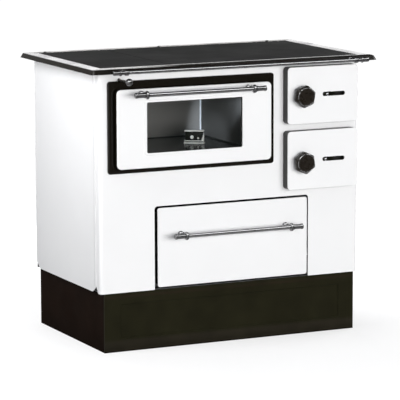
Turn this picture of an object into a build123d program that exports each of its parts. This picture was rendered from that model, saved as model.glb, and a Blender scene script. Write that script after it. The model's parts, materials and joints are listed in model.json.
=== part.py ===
"""Wood cookstove with an enamelled body, a glazed oven door, two stove doors and a wood drawer.

Millimetres, +X to the stove's right, +Y to its back, +Z up.  The origin is on the floor under the
middle of the overall width and depth.
"""

from build123d import *
import math
import os

os.makedirs("parts", exist_ok=True)

# ---------------------------------------------------------------- driving dimensions
HEIGHT = 850.0                    # floor to the cooking surface
BODY_W = 860.0                    # enamelled body, across
BODY_D = 500.0                    # enamelled body, front to back
PLINTH_H = 178.0
SHEET = 2.0                       # enamelled and black sheet steel
RAIL_REACH = 94.0                 # towel rail, in front of the body
SPIGOT_REACH = 62.0               # flue spigot, behind the body

LEFT, RIGHT = -BODY_W / 2, BODY_W / 2
FRONT = -(RAIL_REACH + BODY_D + SPIGOT_REACH) / 2 + RAIL_REACH
BACK = FRONT + BODY_D

PLINTH_INSET = 12.0
PLINTH_FOOT = 3.0                 # thickness of the ring that stands on the floor
PLINTH_FLANGE = 30.0
PLINTH_PANEL = 5.0
FIELD_INSET_X, FIELD_LOW, FIELD_HIGH = 64.0, 40.0, 142.0
FIELD_DEPTH = 3.0                 # pressed field in the front of the plinth

EDGE_R = 10.0                     # rounded upright corners of the front panel
WRAP = 31.0                       # return of the front panel round the sides
NOTCH_H, NOTCH_WRAP, NOTCH_SIDE = 19.0, 14.0, 28.0
POST, FRONT_POST, POST_WALL = 28.0, 14.0, 3.0

SKIRT_H, LEDGE_H = 13.0, 6.0      # black frame under the steel strip, and its plate ledge
TOP_SIDE, TOP_FRONT, TOP_BACK = 34.0, 42.0, 12.0
FLARE = 8.0                       # how far the skirt spreads below the strip
BODY_TOP = HEIGHT - 14.0
STRIP_T, STRIP_GAP = 4.0, 1.0
PLATE_T, PLATE_GAP = 8.0, 1.0
COOK_W, COOK_D = 852.0, 478.0     # opening that holds the cooking plates
LEFT_PLATE_W = 223.0
LEDGE = 16.0
STUDS_X = (LEFT + 28, LEFT + 414, LEFT + 793)
STUD_R, STUD_H, STUD_BACK = 5.0, 3.0, 7.0

SHELF_Z, SHELF_T = 438.0, 2.0

# oven
OVEN_X = LEFT + 298.0
SURROUND_W, SURROUND_H, SURROUND_Z = 545.0, 275.0, 672.0
BEAD, LAND = 8.0, 3.0             # how proud the rim and the sealing face of the surround are
OVEN_DOOR_W, OVEN_DOOR_H, OVEN_DOOR_Z = 505.0, 235.5, 668.25
OVEN_DOOR_FACE, OVEN_DOOR_REAR = 30.0, 8.0
OVEN_PAN, FLANK_WALL = 5.0, 3.0   # white front of the door, and the dark frame behind it
DOOR_GAP = 2.0
MOUTH_W, MOUTH_LOW, MOUTH_HIGH = 420.0, 576.0, 770.0
CAVITY_W, CAVITY_LOW, CAVITY_HIGH, CAVITY_D = 432.0, 576.0, 776.0, 388.0
SUPPORT_OUT = 170.0               # oven supports, either side of the oven's middle
WINDOW_X, WINDOW_W, WINDOW_LOW, WINDOW_HIGH = OVEN_X - 2.0, 313.0, 594.8, 745.6
WINDOW_RIM, WINDOW_RIM_X, WINDOW_RIM_Z = 2.0, 9.0, 7.0
GLASS_T, GLASS_LAP = 4.0, 9.0
OVEN_HINGE_X = (OVEN_X - 212.0, OVEN_X + 212.0)
OVEN_HINGE_Y, OVEN_HINGE_Z = FRONT - 16.0, 558.0
PIN_R, LUG_R, LUG_W = 3.0, 6.0, 12.0
RUNNING = 0.05                    # radial clearance of a pin in its bore

# bar handles
GRIP_SPAN, GRIP_LENGTH = 350.0, 428.0
GRIP_R, EYE_R, EYE_W, CAP_R = 6.25, 12.5, 6.0, 7.8
GRIP_STAND = 44.0                 # bar axis in front of the door
OVEN_GRIP_Z, DRAWER_GRIP_Z = 772.7, 341.8

# stove doors
DOOR_X, DOOR_W = LEFT + 723.5, 239.0
DOOR_FACE, PAN_DEPTH, DOOR_CORNER_R = 33.0, 2.5, 11.0
FRAME_INSET, FRAME_WALL, WEB = 0.5, 4.0, 3.0
FRAME_REAR = 1.0
DOOR_HINGE_X, DOOR_HINGE_OUT = LEFT + 835.0, 16.0
LUG_Z = 45.0                      # lugs above and below the middle of the door
HOLE_X, HOLE_W = LEFT + 724.0, 204.0
KNOB_X = LEFT + 651.0
KNOB_CORNER_R, KNOB_FACE_R, KNOB_NECK_R = 34.0, 28.0, 13.0
SLOT_X, SLOT_W, SLOT_H = LEFT + 760.0, 76.0, 13.0
STOVE_DOORS = {
    "fire": dict(z=738.0, height=173.0, hole=(668.0, 808.0), knob_z=737.0, slot_z=739.0,
                 pin_x=LEFT + 738.0, knob_turn=20.0),
    "ash": dict(z=541.0, height=178.0, hole=(470.0, 612.0), knob_z=536.0, slot_z=540.5,
                pin_x=LEFT + 733.5, knob_turn=37.0),
}

# firebox
CASING_L, CASING_R = LEFT + 598.0, LEFT + 846.0
CASING_FRONT, CASING_BACK = FRONT + 26.0, FRONT + 470.0
CASTING_T, THROAT = 8.0, 16.0
GRATE_Z, GRATE_FRAME_T = 640.0, 12.0
BRICK_T, BRICK_TOP = 28.0, 798.0
ASH_FLOOR = 468.0

# wood drawer
DRAWER_X, DRAWER_W = LEFT + 436.0, 500.0
DRAWER_LOW, DRAWER_HIGH = 184.5, 423.5
DRAWER_FACE, DRAWER_PAN = 2.5, 4.1
DRAWER_HOLE = (LEFT + 176.4, LEFT + 690.4)
DRAWER_HOLE_TOP, DRAWER_HOLE_R = 429.5, 10.0
DRAWER_GRIP_X = LEFT + 435.0
BOX_W, BOX_D, BOX_TOP = 482.0, 434.0, 404.0
RUNNER_H = 10.0

# flue and damper
FLUE_X, FLUE_Z = LEFT + 120.0, 720.0
FLUE_R, FLUE_WALL, FLUE_LENGTH = 60.5, 2.0, 64.0
FLUE_BOX_TOP = 800.0
DAMPER_X, DAMPER_Z = LEFT + 65.0, 813.0
BALL_OUT, BALL_R, ROD_R = 73.0, 11.0, 3.0
ROD_END = FRONT + 407.0
DAMPER_PORT = (LEFT + 45.0, LEFT + 125.0)

# towel rail
RAIL_OUT, RAIL_Z, RAIL_R = 85.0, HEIGHT - 7.0, 5.5
RAIL_RING_X, RAIL_POST_X, RAIL_END_X = 398.0, 378.0, 421.0


# ---------------------------------------------------------------- helpers
TURN = {"X": (0, 90, 0), "Y": (90, 0, 0), "Z": (0, 0, 0)}


def facing(y):
    """Upright plane at depth y that faces the front; its x is X and its y is Z."""
    return Plane.XZ.offset(-y)


def slab(x, y, z, mode=Mode.ADD):
    """Rectangular block between two limits on each axis."""
    centre = tuple((low + high) / 2 for low, high in (x, y, z))
    with Locations(centre):
        Box(x[1] - x[0], y[1] - y[0], z[1] - z[0], mode=mode)


def bar(axis, start, end, at, radius, mode=Mode.ADD):
    """Round bar along one axis from start to end; at gives its other two coordinates."""
    middle = (start + end) / 2
    centre = list(at)
    centre.insert("XYZ".index(axis), middle)
    with Locations(Location(tuple(centre), TURN[axis])):
        Cylinder(radius, end - start, mode=mode)


def pane(x, z, y, depth, corner, mode=Mode.ADD):
    """Upright rounded plate from depth y forward; x and z are its limits."""
    with BuildSketch(facing(y)) as outline:
        with Locations(((x[0] + x[1]) / 2, (z[0] + z[1]) / 2)):
            RectangleRounded(x[1] - x[0], z[1] - z[0], corner)
    extrude(outline.sketch, amount=depth, mode=mode)


def around(middle, size):
    """Two limits about a middle."""
    return (middle - size / 2, middle + size / 2)


def grown(limits, by):
    """Limits spread by the same amount at both ends."""
    return (limits[0] - by, limits[1] + by)


def front_rim(part):
    """Edges round the openings in the foremost face of a part."""
    return part.faces().sort_by(Axis.Y)[0].inner_wires().edges()


def pressed_pan(part, x, z, rear, depth, corner, lip):
    """Pressed sheet pan, open at the back, with a rounded front edge."""
    pane(x, z, rear, depth, corner)
    fillet(part.faces().sort_by(Axis.Y)[0].edges(), lip)
    pane(grown(x, -SHEET), grown(z, -SHEET), rear, depth - SHEET, corner - SHEET, Mode.SUBTRACT)


def finish(part, name):
    """Label a piece and write it."""
    part.part.label = name
    export_step(part.part, f"parts/{name}.step")


# ---------------------------------------------------------------- plinth
PLINTH_X = (LEFT + PLINTH_INSET, RIGHT - PLINTH_INSET)
PLINTH_Y = (FRONT, BACK)

with BuildPart() as plinth_base:
    slab(PLINTH_X, PLINTH_Y, (0, PLINTH_FOOT))
    slab(grown(PLINTH_X, -PLINTH_FLANGE), grown(PLINTH_Y, -PLINTH_FLANGE), (0, PLINTH_FOOT),
         Mode.SUBTRACT)
finish(plinth_base, "plinth_base")

with BuildPart() as plinth_front:
    slab(PLINTH_X, (FRONT, FRONT + PLINTH_PANEL), (PLINTH_FOOT, PLINTH_H))
    field_x = grown((LEFT, RIGHT), -FIELD_INSET_X)
    pane(field_x, (FIELD_LOW, FIELD_HIGH), FRONT + FIELD_DEPTH, FIELD_DEPTH, 4.0, Mode.SUBTRACT)
    chamfer(front_rim(plinth_front), 1.5)
finish(plinth_front, "plinth_front")

with BuildPart() as plinth_sides:
    upright = (PLINTH_FOOT, PLINTH_H)
    for outer, inner in ((PLINTH_X[0], PLINTH_X[0] + SHEET), (PLINTH_X[1] - SHEET, PLINTH_X[1])):
        slab((outer, inner), (FRONT + PLINTH_PANEL, BACK - SHEET), upright)
    slab(PLINTH_X, (BACK - SHEET, BACK), upright)
finish(plinth_sides, "plinth_sides")

# ---------------------------------------------------------------- enamelled body
with BuildPart() as base_plate:
    slab((LEFT + EDGE_R, RIGHT - EDGE_R), (FRONT + SHEET, BACK - SHEET), (PLINTH_H, PLINTH_H + SHEET))
finish(base_plate, "base_plate")
FLOOR_Z = PLINTH_H + SHEET

FIRE, ASH = STOVE_DOORS["fire"], STOVE_DOORS["ash"]


def wrapped_section(inset, radius):
    """Plan of the front panel's U: its two front corners rounded."""
    with BuildSketch(Plane.XY.offset(PLINTH_H)) as section:
        with Locations((0, FRONT + inset + WRAP / 2)):
            Rectangle(BODY_W - 2 * inset, WRAP)
        fillet(section.vertices().group_by(Axis.Y)[0], radius)
    return section.sketch


with BuildPart() as front_panel:
    extrude(wrapped_section(0, EDGE_R), amount=BODY_TOP - PLINTH_H)
    extrude(wrapped_section(SHEET, EDGE_R - SHEET), amount=BODY_TOP - PLINTH_H, mode=Mode.SUBTRACT)
    pane(around(OVEN_X, MOUTH_W), (MOUTH_LOW, MOUTH_HIGH), FRONT + SHEET, SHEET, 6.0, Mode.SUBTRACT)
    for door in STOVE_DOORS.values():
        pane(around(HOLE_X, HOLE_W), door["hole"], FRONT + SHEET, SHEET, 6.0, Mode.SUBTRACT)
    drawer_hole = (DRAWER_HOLE, (PLINTH_H - 20, DRAWER_HOLE_TOP))
    pane(*drawer_hole, FRONT + SHEET, SHEET, DRAWER_HOLE_R, Mode.SUBTRACT)
    bar("Y", FRONT, FRONT + SHEET, (DAMPER_X, DAMPER_Z), 5.0, Mode.SUBTRACT)
    with BuildSketch(Plane.YZ.offset(LEFT)):
        with BuildLine():
            Polyline((FRONT + WRAP, PLINTH_H), (FRONT + WRAP, PLINTH_H + NOTCH_H),
                     (FRONT + WRAP - NOTCH_WRAP, PLINTH_H), close=True)
        make_face()
    extrude(amount=BODY_W, mode=Mode.SUBTRACT)
finish(front_panel, "front_panel")


def side_panel(x):
    """Flat enamelled side with its two lower corners cut off."""
    with BuildPart() as panel:
        with BuildSketch(Plane.YZ.offset(x)):
            with BuildLine():
                Polyline((FRONT + WRAP, BODY_TOP), (FRONT + WRAP, PLINTH_H + NOTCH_H),
                         (FRONT + WRAP + NOTCH_SIDE, PLINTH_H), (BACK - NOTCH_SIDE, PLINTH_H),
                         (BACK, PLINTH_H + NOTCH_H), (BACK, BODY_TOP), close=True)
            make_face()
        extrude(amount=SHEET)
    return panel


left_side_panel = side_panel(LEFT)
finish(left_side_panel, "left_side_panel")
right_side_panel = side_panel(RIGHT - SHEET)
finish(right_side_panel, "right_side_panel")

with BuildPart() as rear_panel:
    slab((LEFT + SHEET, RIGHT - SHEET), (BACK - SHEET, BACK), (PLINTH_H, BODY_TOP))
    bar("Y", BACK - SHEET, BACK, (FLUE_X, FLUE_Z), FLUE_R + FLUE_WALL, Mode.SUBTRACT)
finish(rear_panel, "rear_panel")

with BuildPart() as corner_posts:
    for side in (-1, 1):
        wall = side * (BODY_W / 2 - SHEET)
        x_span = sorted((wall, wall - side * POST))
        x_web = sorted((wall, wall - side * POST_WALL))
        height = (FLOOR_Z, BODY_TOP)
        with BuildSketch(Plane.XY.offset(FLOOR_Z)) as post:
            with Locations((wall - side * FRONT_POST / 2, FRONT + SHEET + POST / 2)):
                Rectangle(FRONT_POST, POST)
            corner = post.vertices().group_by(Axis.Y)[0].sort_by(Axis.X)[0 if side < 0 else -1]
            fillet(corner, EDGE_R - SHEET)
            with Locations((wall - side * (FRONT_POST / 2 + POST_WALL), FRONT + SHEET + POST / 2 + POST_WALL)):
                Rectangle(FRONT_POST, POST, mode=Mode.SUBTRACT)
        extrude(amount=BODY_TOP - FLOOR_Z)
        slab(x_span, (BACK - SHEET - POST_WALL, BACK - SHEET), height)
        slab(x_web, (BACK - SHEET - POST, BACK - SHEET - POST_WALL), height)
finish(corner_posts, "corner_posts")

with BuildPart() as mid_shelf:
    slab((LEFT + SHEET, RIGHT - SHEET), (FRONT + WRAP, BACK - SHEET - POST), (SHELF_Z, SHELF_Z + SHELF_T))
finish(mid_shelf, "mid_shelf")
SHELF_TOP = SHELF_Z + SHELF_T

# ---------------------------------------------------------------- top
TOP_X = (LEFT - TOP_SIDE, RIGHT + TOP_SIDE)
TOP_Y = (FRONT - TOP_FRONT, BACK + TOP_BACK)
TOP_MID = (TOP_Y[0] + TOP_Y[1]) / 2
COOK_X, COOK_Y = around(0, COOK_W), around(TOP_MID, COOK_D)
LEDGE_Z = BODY_TOP + LEDGE_H
STRIP_Z = HEIGHT - STRIP_T

with BuildPart() as top_skirt:
    with BuildSketch(Plane.XY.offset(BODY_TOP)):
        with Locations((0, TOP_MID)):
            RectangleRounded(TOP_X[1] - TOP_X[0] + 2 * FLARE, TOP_Y[1] - TOP_Y[0] + 2 * FLARE, 12.0)
    extrude(amount=SKIRT_H, taper=math.degrees(math.atan(FLARE / SKIRT_H)))
    top_x, top_y = grown(TOP_X, -STRIP_GAP), grown(TOP_Y, -STRIP_GAP)
    slab(top_x, top_y, (STRIP_Z, HEIGHT), Mode.SUBTRACT)
    slab(COOK_X, COOK_Y, (LEDGE_Z, HEIGHT), Mode.SUBTRACT)
    slab(grown(COOK_X, -LEDGE), grown(COOK_Y, -LEDGE), (BODY_TOP, HEIGHT), Mode.SUBTRACT)
finish(top_skirt, "top_skirt")

with BuildPart() as top_strip:
    slab(top_x, top_y, (STRIP_Z, HEIGHT))
    slab(COOK_X, COOK_Y, (STRIP_Z, HEIGHT), Mode.SUBTRACT)
    fillet(top_strip.edges().group_by(Axis.Z)[-1], 1.0)
finish(top_strip, "top_strip")

with BuildPart() as plate_studs:
    for x in STUDS_X:
        bar("Z", HEIGHT, HEIGHT + STUD_H, (x, COOK_Y[1] + STUD_BACK), STUD_R)
    fillet(plate_studs.edges().group_by(Axis.Z)[-1], 2.0)
finish(plate_studs, "plate_studs")

PLATE_SPLIT = COOK_X[0] + PLATE_GAP + LEFT_PLATE_W
PLATES = {
    "cooktop_left": (COOK_X[0] + PLATE_GAP, PLATE_SPLIT),
    "cooktop_right": (PLATE_SPLIT + PLATE_GAP, COOK_X[1] - PLATE_GAP),
}
for name, limits in PLATES.items():
    with BuildPart() as cooktop:
        slab(limits, grown(COOK_Y, -PLATE_GAP), (LEDGE_Z, HEIGHT))
        chamfer(cooktop.edges().group_by(Axis.Z)[-1], 0.8)
    finish(cooktop, name)

# ---------------------------------------------------------------- bar handles and towel rail
def grip(x, y, z, prefix):
    """Bar handle: a tube through two eyes on posts, closed by two caps."""
    with BuildPart() as tube:
        bar("X", x - GRIP_LENGTH / 2 + CAP_R, x + GRIP_LENGTH / 2 - CAP_R, (y, z), GRIP_R)
        bar("X", x - GRIP_LENGTH / 2 + CAP_R, x + GRIP_LENGTH / 2 - CAP_R, (y, z), GRIP_R - 1.5,
            Mode.SUBTRACT)
    finish(tube, f"{prefix}_handle_tube")
    with BuildPart() as fittings:
        for side in (-1, 1):
            eye_x = x + side * GRIP_SPAN / 2
            bar("X", eye_x - EYE_W / 2, eye_x + EYE_W / 2, (y, z), EYE_R)
            bar("Y", y + GRIP_R, y + GRIP_STAND, (eye_x, z), 4.5)
            bar("Y", y + GRIP_STAND - 12, y + GRIP_STAND, (eye_x, z), 8.5)
        fillet(fittings.edges().filter_by(GeomType.CIRCLE).filter_by(
            lambda edge: abs(edge.radius - EYE_R) < 0.01), 2.4)
        for side in (-1, 1):
            shoulder = x + side * (GRIP_SPAN / 2 + EYE_W / 2)
            tip = x + side * GRIP_LENGTH / 2
            bar("X", *sorted((shoulder, tip)), (y, z), CAP_R)
        bar("X", x - GRIP_LENGTH / 2 + CAP_R, x + GRIP_LENGTH / 2 - CAP_R, (y, z), GRIP_R,
            Mode.SUBTRACT)
        fillet(fittings.faces().filter_by(Axis.X).group_by(Axis.X)[0].edges(), 2.0)
        fillet(fittings.faces().filter_by(Axis.X).group_by(Axis.X)[-1].edges(), 2.0)
    finish(fittings, f"{prefix}_handle_fittings")


grip(OVEN_X - 1.5, FRONT - OVEN_DOOR_FACE - GRIP_STAND, OVEN_GRIP_Z, "oven")
grip(DRAWER_GRIP_X, FRONT - DRAWER_FACE - GRIP_STAND, DRAWER_GRIP_Z, "drawer")

RAIL_Y = FRONT - RAIL_OUT
with BuildPart() as towel_rail:
    bar("X", -RAIL_END_X + 6, RAIL_END_X - 6, (RAIL_Y, RAIL_Z), RAIL_R)
    bar("X", -RAIL_END_X + 6, RAIL_END_X - 6, (RAIL_Y, RAIL_Z), RAIL_R - 1.5, Mode.SUBTRACT)
finish(towel_rail, "towel_rail")

with BuildPart() as towel_rail_fittings:
    for side in (-1, 1):
        post_x, ring_x = side * RAIL_POST_X, side * RAIL_RING_X
        bar("X", post_x - 5, post_x + 5, (RAIL_Y, RAIL_Z), 8.5)
        bar("Y", RAIL_Y, FRONT - TOP_FRONT, (post_x, RAIL_Z), 4.0)
        bar("X", ring_x - 2.5, ring_x + 2.5, (RAIL_Y, RAIL_Z), 9.0)
        bar("X", *sorted((ring_x + side * 2.5, side * RAIL_END_X)), (RAIL_Y, RAIL_Z), 6.9)
    bar("X", -RAIL_END_X + 6, RAIL_END_X - 6, (RAIL_Y, RAIL_Z), RAIL_R, Mode.SUBTRACT)
    add(top_skirt.part, mode=Mode.SUBTRACT)
finish(towel_rail_fittings, "towel_rail_fittings")

# ---------------------------------------------------------------- oven body
SURROUND_X, SURROUND_Z_SPAN = around(OVEN_X, SURROUND_W), around(SURROUND_Z, SURROUND_H)
DOOR_SPAN_X = around(OVEN_X, OVEN_DOOR_W)
DOOR_SPAN_Z = around(OVEN_DOOR_Z, OVEN_DOOR_H)

with BuildPart() as oven_surround:
    pane(SURROUND_X, SURROUND_Z_SPAN, FRONT, BEAD, 9.0)
    fillet(oven_surround.faces().sort_by(Axis.Y)[0].edges(), 5.0)
    pane(grown(DOOR_SPAN_X, DOOR_GAP), grown(DOOR_SPAN_Z, DOOR_GAP), FRONT - LAND, BEAD, 14.0,
         Mode.SUBTRACT)
    fillet(front_rim(oven_surround), 2.0)
    pane(around(OVEN_X, MOUTH_W), (MOUTH_LOW, MOUTH_HIGH), FRONT, BEAD, 6.0, Mode.SUBTRACT)
finish(oven_surround, "oven_surround")

with BuildPart() as oven_liner:
    liner_y = (FRONT + SHEET, FRONT + CAVITY_D)
    cavity_x, cavity_z = around(OVEN_X, CAVITY_W), (CAVITY_LOW, CAVITY_HIGH)
    slab(grown(cavity_x, SHEET), (liner_y[0], liner_y[1] + SHEET), grown(cavity_z, SHEET))
    slab(cavity_x, liner_y, cavity_z, Mode.SUBTRACT)
finish(oven_liner, "oven_liner")

with BuildPart() as oven_supports:
    for x in (OVEN_X - SUPPORT_OUT, OVEN_X + SUPPORT_OUT):
        slab((x, x + 3), (FRONT + 40, FRONT + 380), (SHELF_TOP, CAVITY_LOW - SHEET))
        slab((x + 3, x + 25), (FRONT + 40, FRONT + 380), (CAVITY_LOW - SHEET - 3, CAVITY_LOW - SHEET))
finish(oven_supports, "oven_supports")

with BuildPart() as oven_thermometer:
    with Locations(Location((LEFT + 418, FRONT + 232, CAVITY_LOW + 22), (0, 0, -30))):
        Box(60, 18, 36)
    fillet(oven_thermometer.edges().filter_by(Axis.Z), 2.0)
    with Locations(Location((LEFT + 418, FRONT + 232, CAVITY_LOW + 2), (0, 0, -30))):
        Box(64, 26, 4)
finish(oven_thermometer, "oven_thermometer")

with BuildPart() as hinge_lugs:
    for x in OVEN_HINGE_X:
        bar("X", x - LUG_W / 2, x + LUG_W / 2, (OVEN_HINGE_Y, OVEN_HINGE_Z), LUG_R)
        slab(around(x, LUG_W), (OVEN_HINGE_Y, FRONT - LAND), around(OVEN_HINGE_Z, 2 * LUG_R))
        bar("X", x - LUG_W, x + LUG_W, (OVEN_HINGE_Y, OVEN_HINGE_Z), PIN_R + RUNNING, Mode.SUBTRACT)
    for door in STOVE_DOORS.values():
        for z in (door["z"] - LUG_Z, door["z"] + LUG_Z):
            pin_at = (DOOR_HINGE_X, FRONT - DOOR_HINGE_OUT)
            bar("Z", z - LUG_R, z + LUG_R, pin_at, LUG_R)
            slab(around(DOOR_HINGE_X, 2 * LUG_R), (pin_at[1], FRONT), around(z, 2 * LUG_R))
            bar("Z", z - LUG_W, z + LUG_W, pin_at, PIN_R + RUNNING, Mode.SUBTRACT)
finish(hinge_lugs, "hinge_lugs")

# ---------------------------------------------------------------- oven door
REAR = FRONT - OVEN_DOOR_REAR
INNER_PLATE = 3.0
WINDOW_Z = (WINDOW_LOW, WINDOW_HIGH)
WINDOW_SPAN = around(WINDOW_X, WINDOW_W)
SLOT_HALF = LUG_W / 2 + 2

PAN_REAR = FRONT - OVEN_DOOR_FACE + OVEN_PAN
GLASS_FRONT = FRONT - OVEN_DOOR_FACE + SHEET

with BuildPart() as oven_door_panel:
    pressed_pan(oven_door_panel, DOOR_SPAN_X, DOOR_SPAN_Z, PAN_REAR, OVEN_PAN, 14.0, 3.5)
    rim_span = (grown(WINDOW_SPAN, WINDOW_RIM_X), grown(WINDOW_Z, WINDOW_RIM_Z))
    pane(*rim_span, GLASS_FRONT - SHEET, WINDOW_RIM, 12.0)
    fillet(oven_door_panel.faces().sort_by(Axis.Y)[0].edges(), WINDOW_RIM - 0.1)
    pane(WINDOW_SPAN, WINDOW_Z, GLASS_FRONT, SHEET + WINDOW_RIM, 5.0, Mode.SUBTRACT)
finish(oven_door_panel, "oven_door_panel")

with BuildPart() as oven_door_glass:
    pane(grown(WINDOW_SPAN, GLASS_LAP), grown(WINDOW_Z, GLASS_LAP), GLASS_FRONT + GLASS_T, GLASS_T, 4.0)
finish(oven_door_glass, "oven_door_glass")

with BuildPart() as oven_door_frame:
    plate_x, plate_z = grown(DOOR_SPAN_X, -0.5), grown(DOOR_SPAN_Z, -0.5)
    pane(plate_x, plate_z, REAR, REAR - PAN_REAR, 13.5)
    pane(grown(plate_x, -FLANK_WALL), grown(plate_z, -FLANK_WALL), REAR - INNER_PLATE,
         REAR - INNER_PLATE - PAN_REAR, 10.5, Mode.SUBTRACT)
    tunnel_depth = REAR - INNER_PLATE - GLASS_FRONT - GLASS_T
    pane(grown(WINDOW_SPAN, 12), grown(WINDOW_Z, 12), REAR - INNER_PLATE, tunnel_depth, 6.0)
    step_x, step_z = around(OVEN_X, MOUTH_W - 36), (MOUTH_LOW + 8, MOUTH_HIGH - 8)
    pane(step_x, step_z, REAR + 12, 12, 8.0)
    pane(grown(step_x, -3), grown(step_z, -3), REAR + 12, 12, 5.0, Mode.SUBTRACT)
    for x in OVEN_HINGE_X:
        for side in (-1, 1):
            knuckle = sorted((x + side * SLOT_HALF, x + side * (SLOT_HALF + 10)))
            slab(knuckle, (OVEN_HINGE_Y - LUG_R, REAR - INNER_PLATE), (plate_z[0] + 1, OVEN_HINGE_Z + LUG_R))
        bar("X", x - 25, x + 25, (OVEN_HINGE_Y, OVEN_HINGE_Z), PIN_R, Mode.SUBTRACT)
        slab(around(x, 2 * SLOT_HALF), (PAN_REAR, REAR), (plate_z[0], OVEN_HINGE_Z + 10), Mode.SUBTRACT)
    pane(grown(WINDOW_SPAN, 7), grown(WINDOW_Z, 7), REAR, 22, 4.0, Mode.SUBTRACT)
finish(oven_door_frame, "oven_door_frame")

with BuildPart() as oven_door_gasket:
    seal_x, seal_z = around(OVEN_X, MOUTH_W + 2), (MOUTH_LOW - 0.5, MOUTH_HIGH + 1)
    seal_depth = OVEN_DOOR_REAR - LAND - 0.1
    pane(grown(seal_x, 6), grown(seal_z, 6), REAR + seal_depth, seal_depth, 10.0)
    pane(seal_x, seal_z, REAR + seal_depth, seal_depth, 6.0, Mode.SUBTRACT)
finish(oven_door_gasket, "oven_door_gasket")

with BuildPart() as oven_hinge_pins:
    for x in OVEN_HINGE_X:
        bar("X", x - SLOT_HALF - 10, x + SLOT_HALF + 10, (OVEN_HINGE_Y, OVEN_HINGE_Z), PIN_R)
finish(oven_hinge_pins, "oven_hinge_pins")


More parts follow.
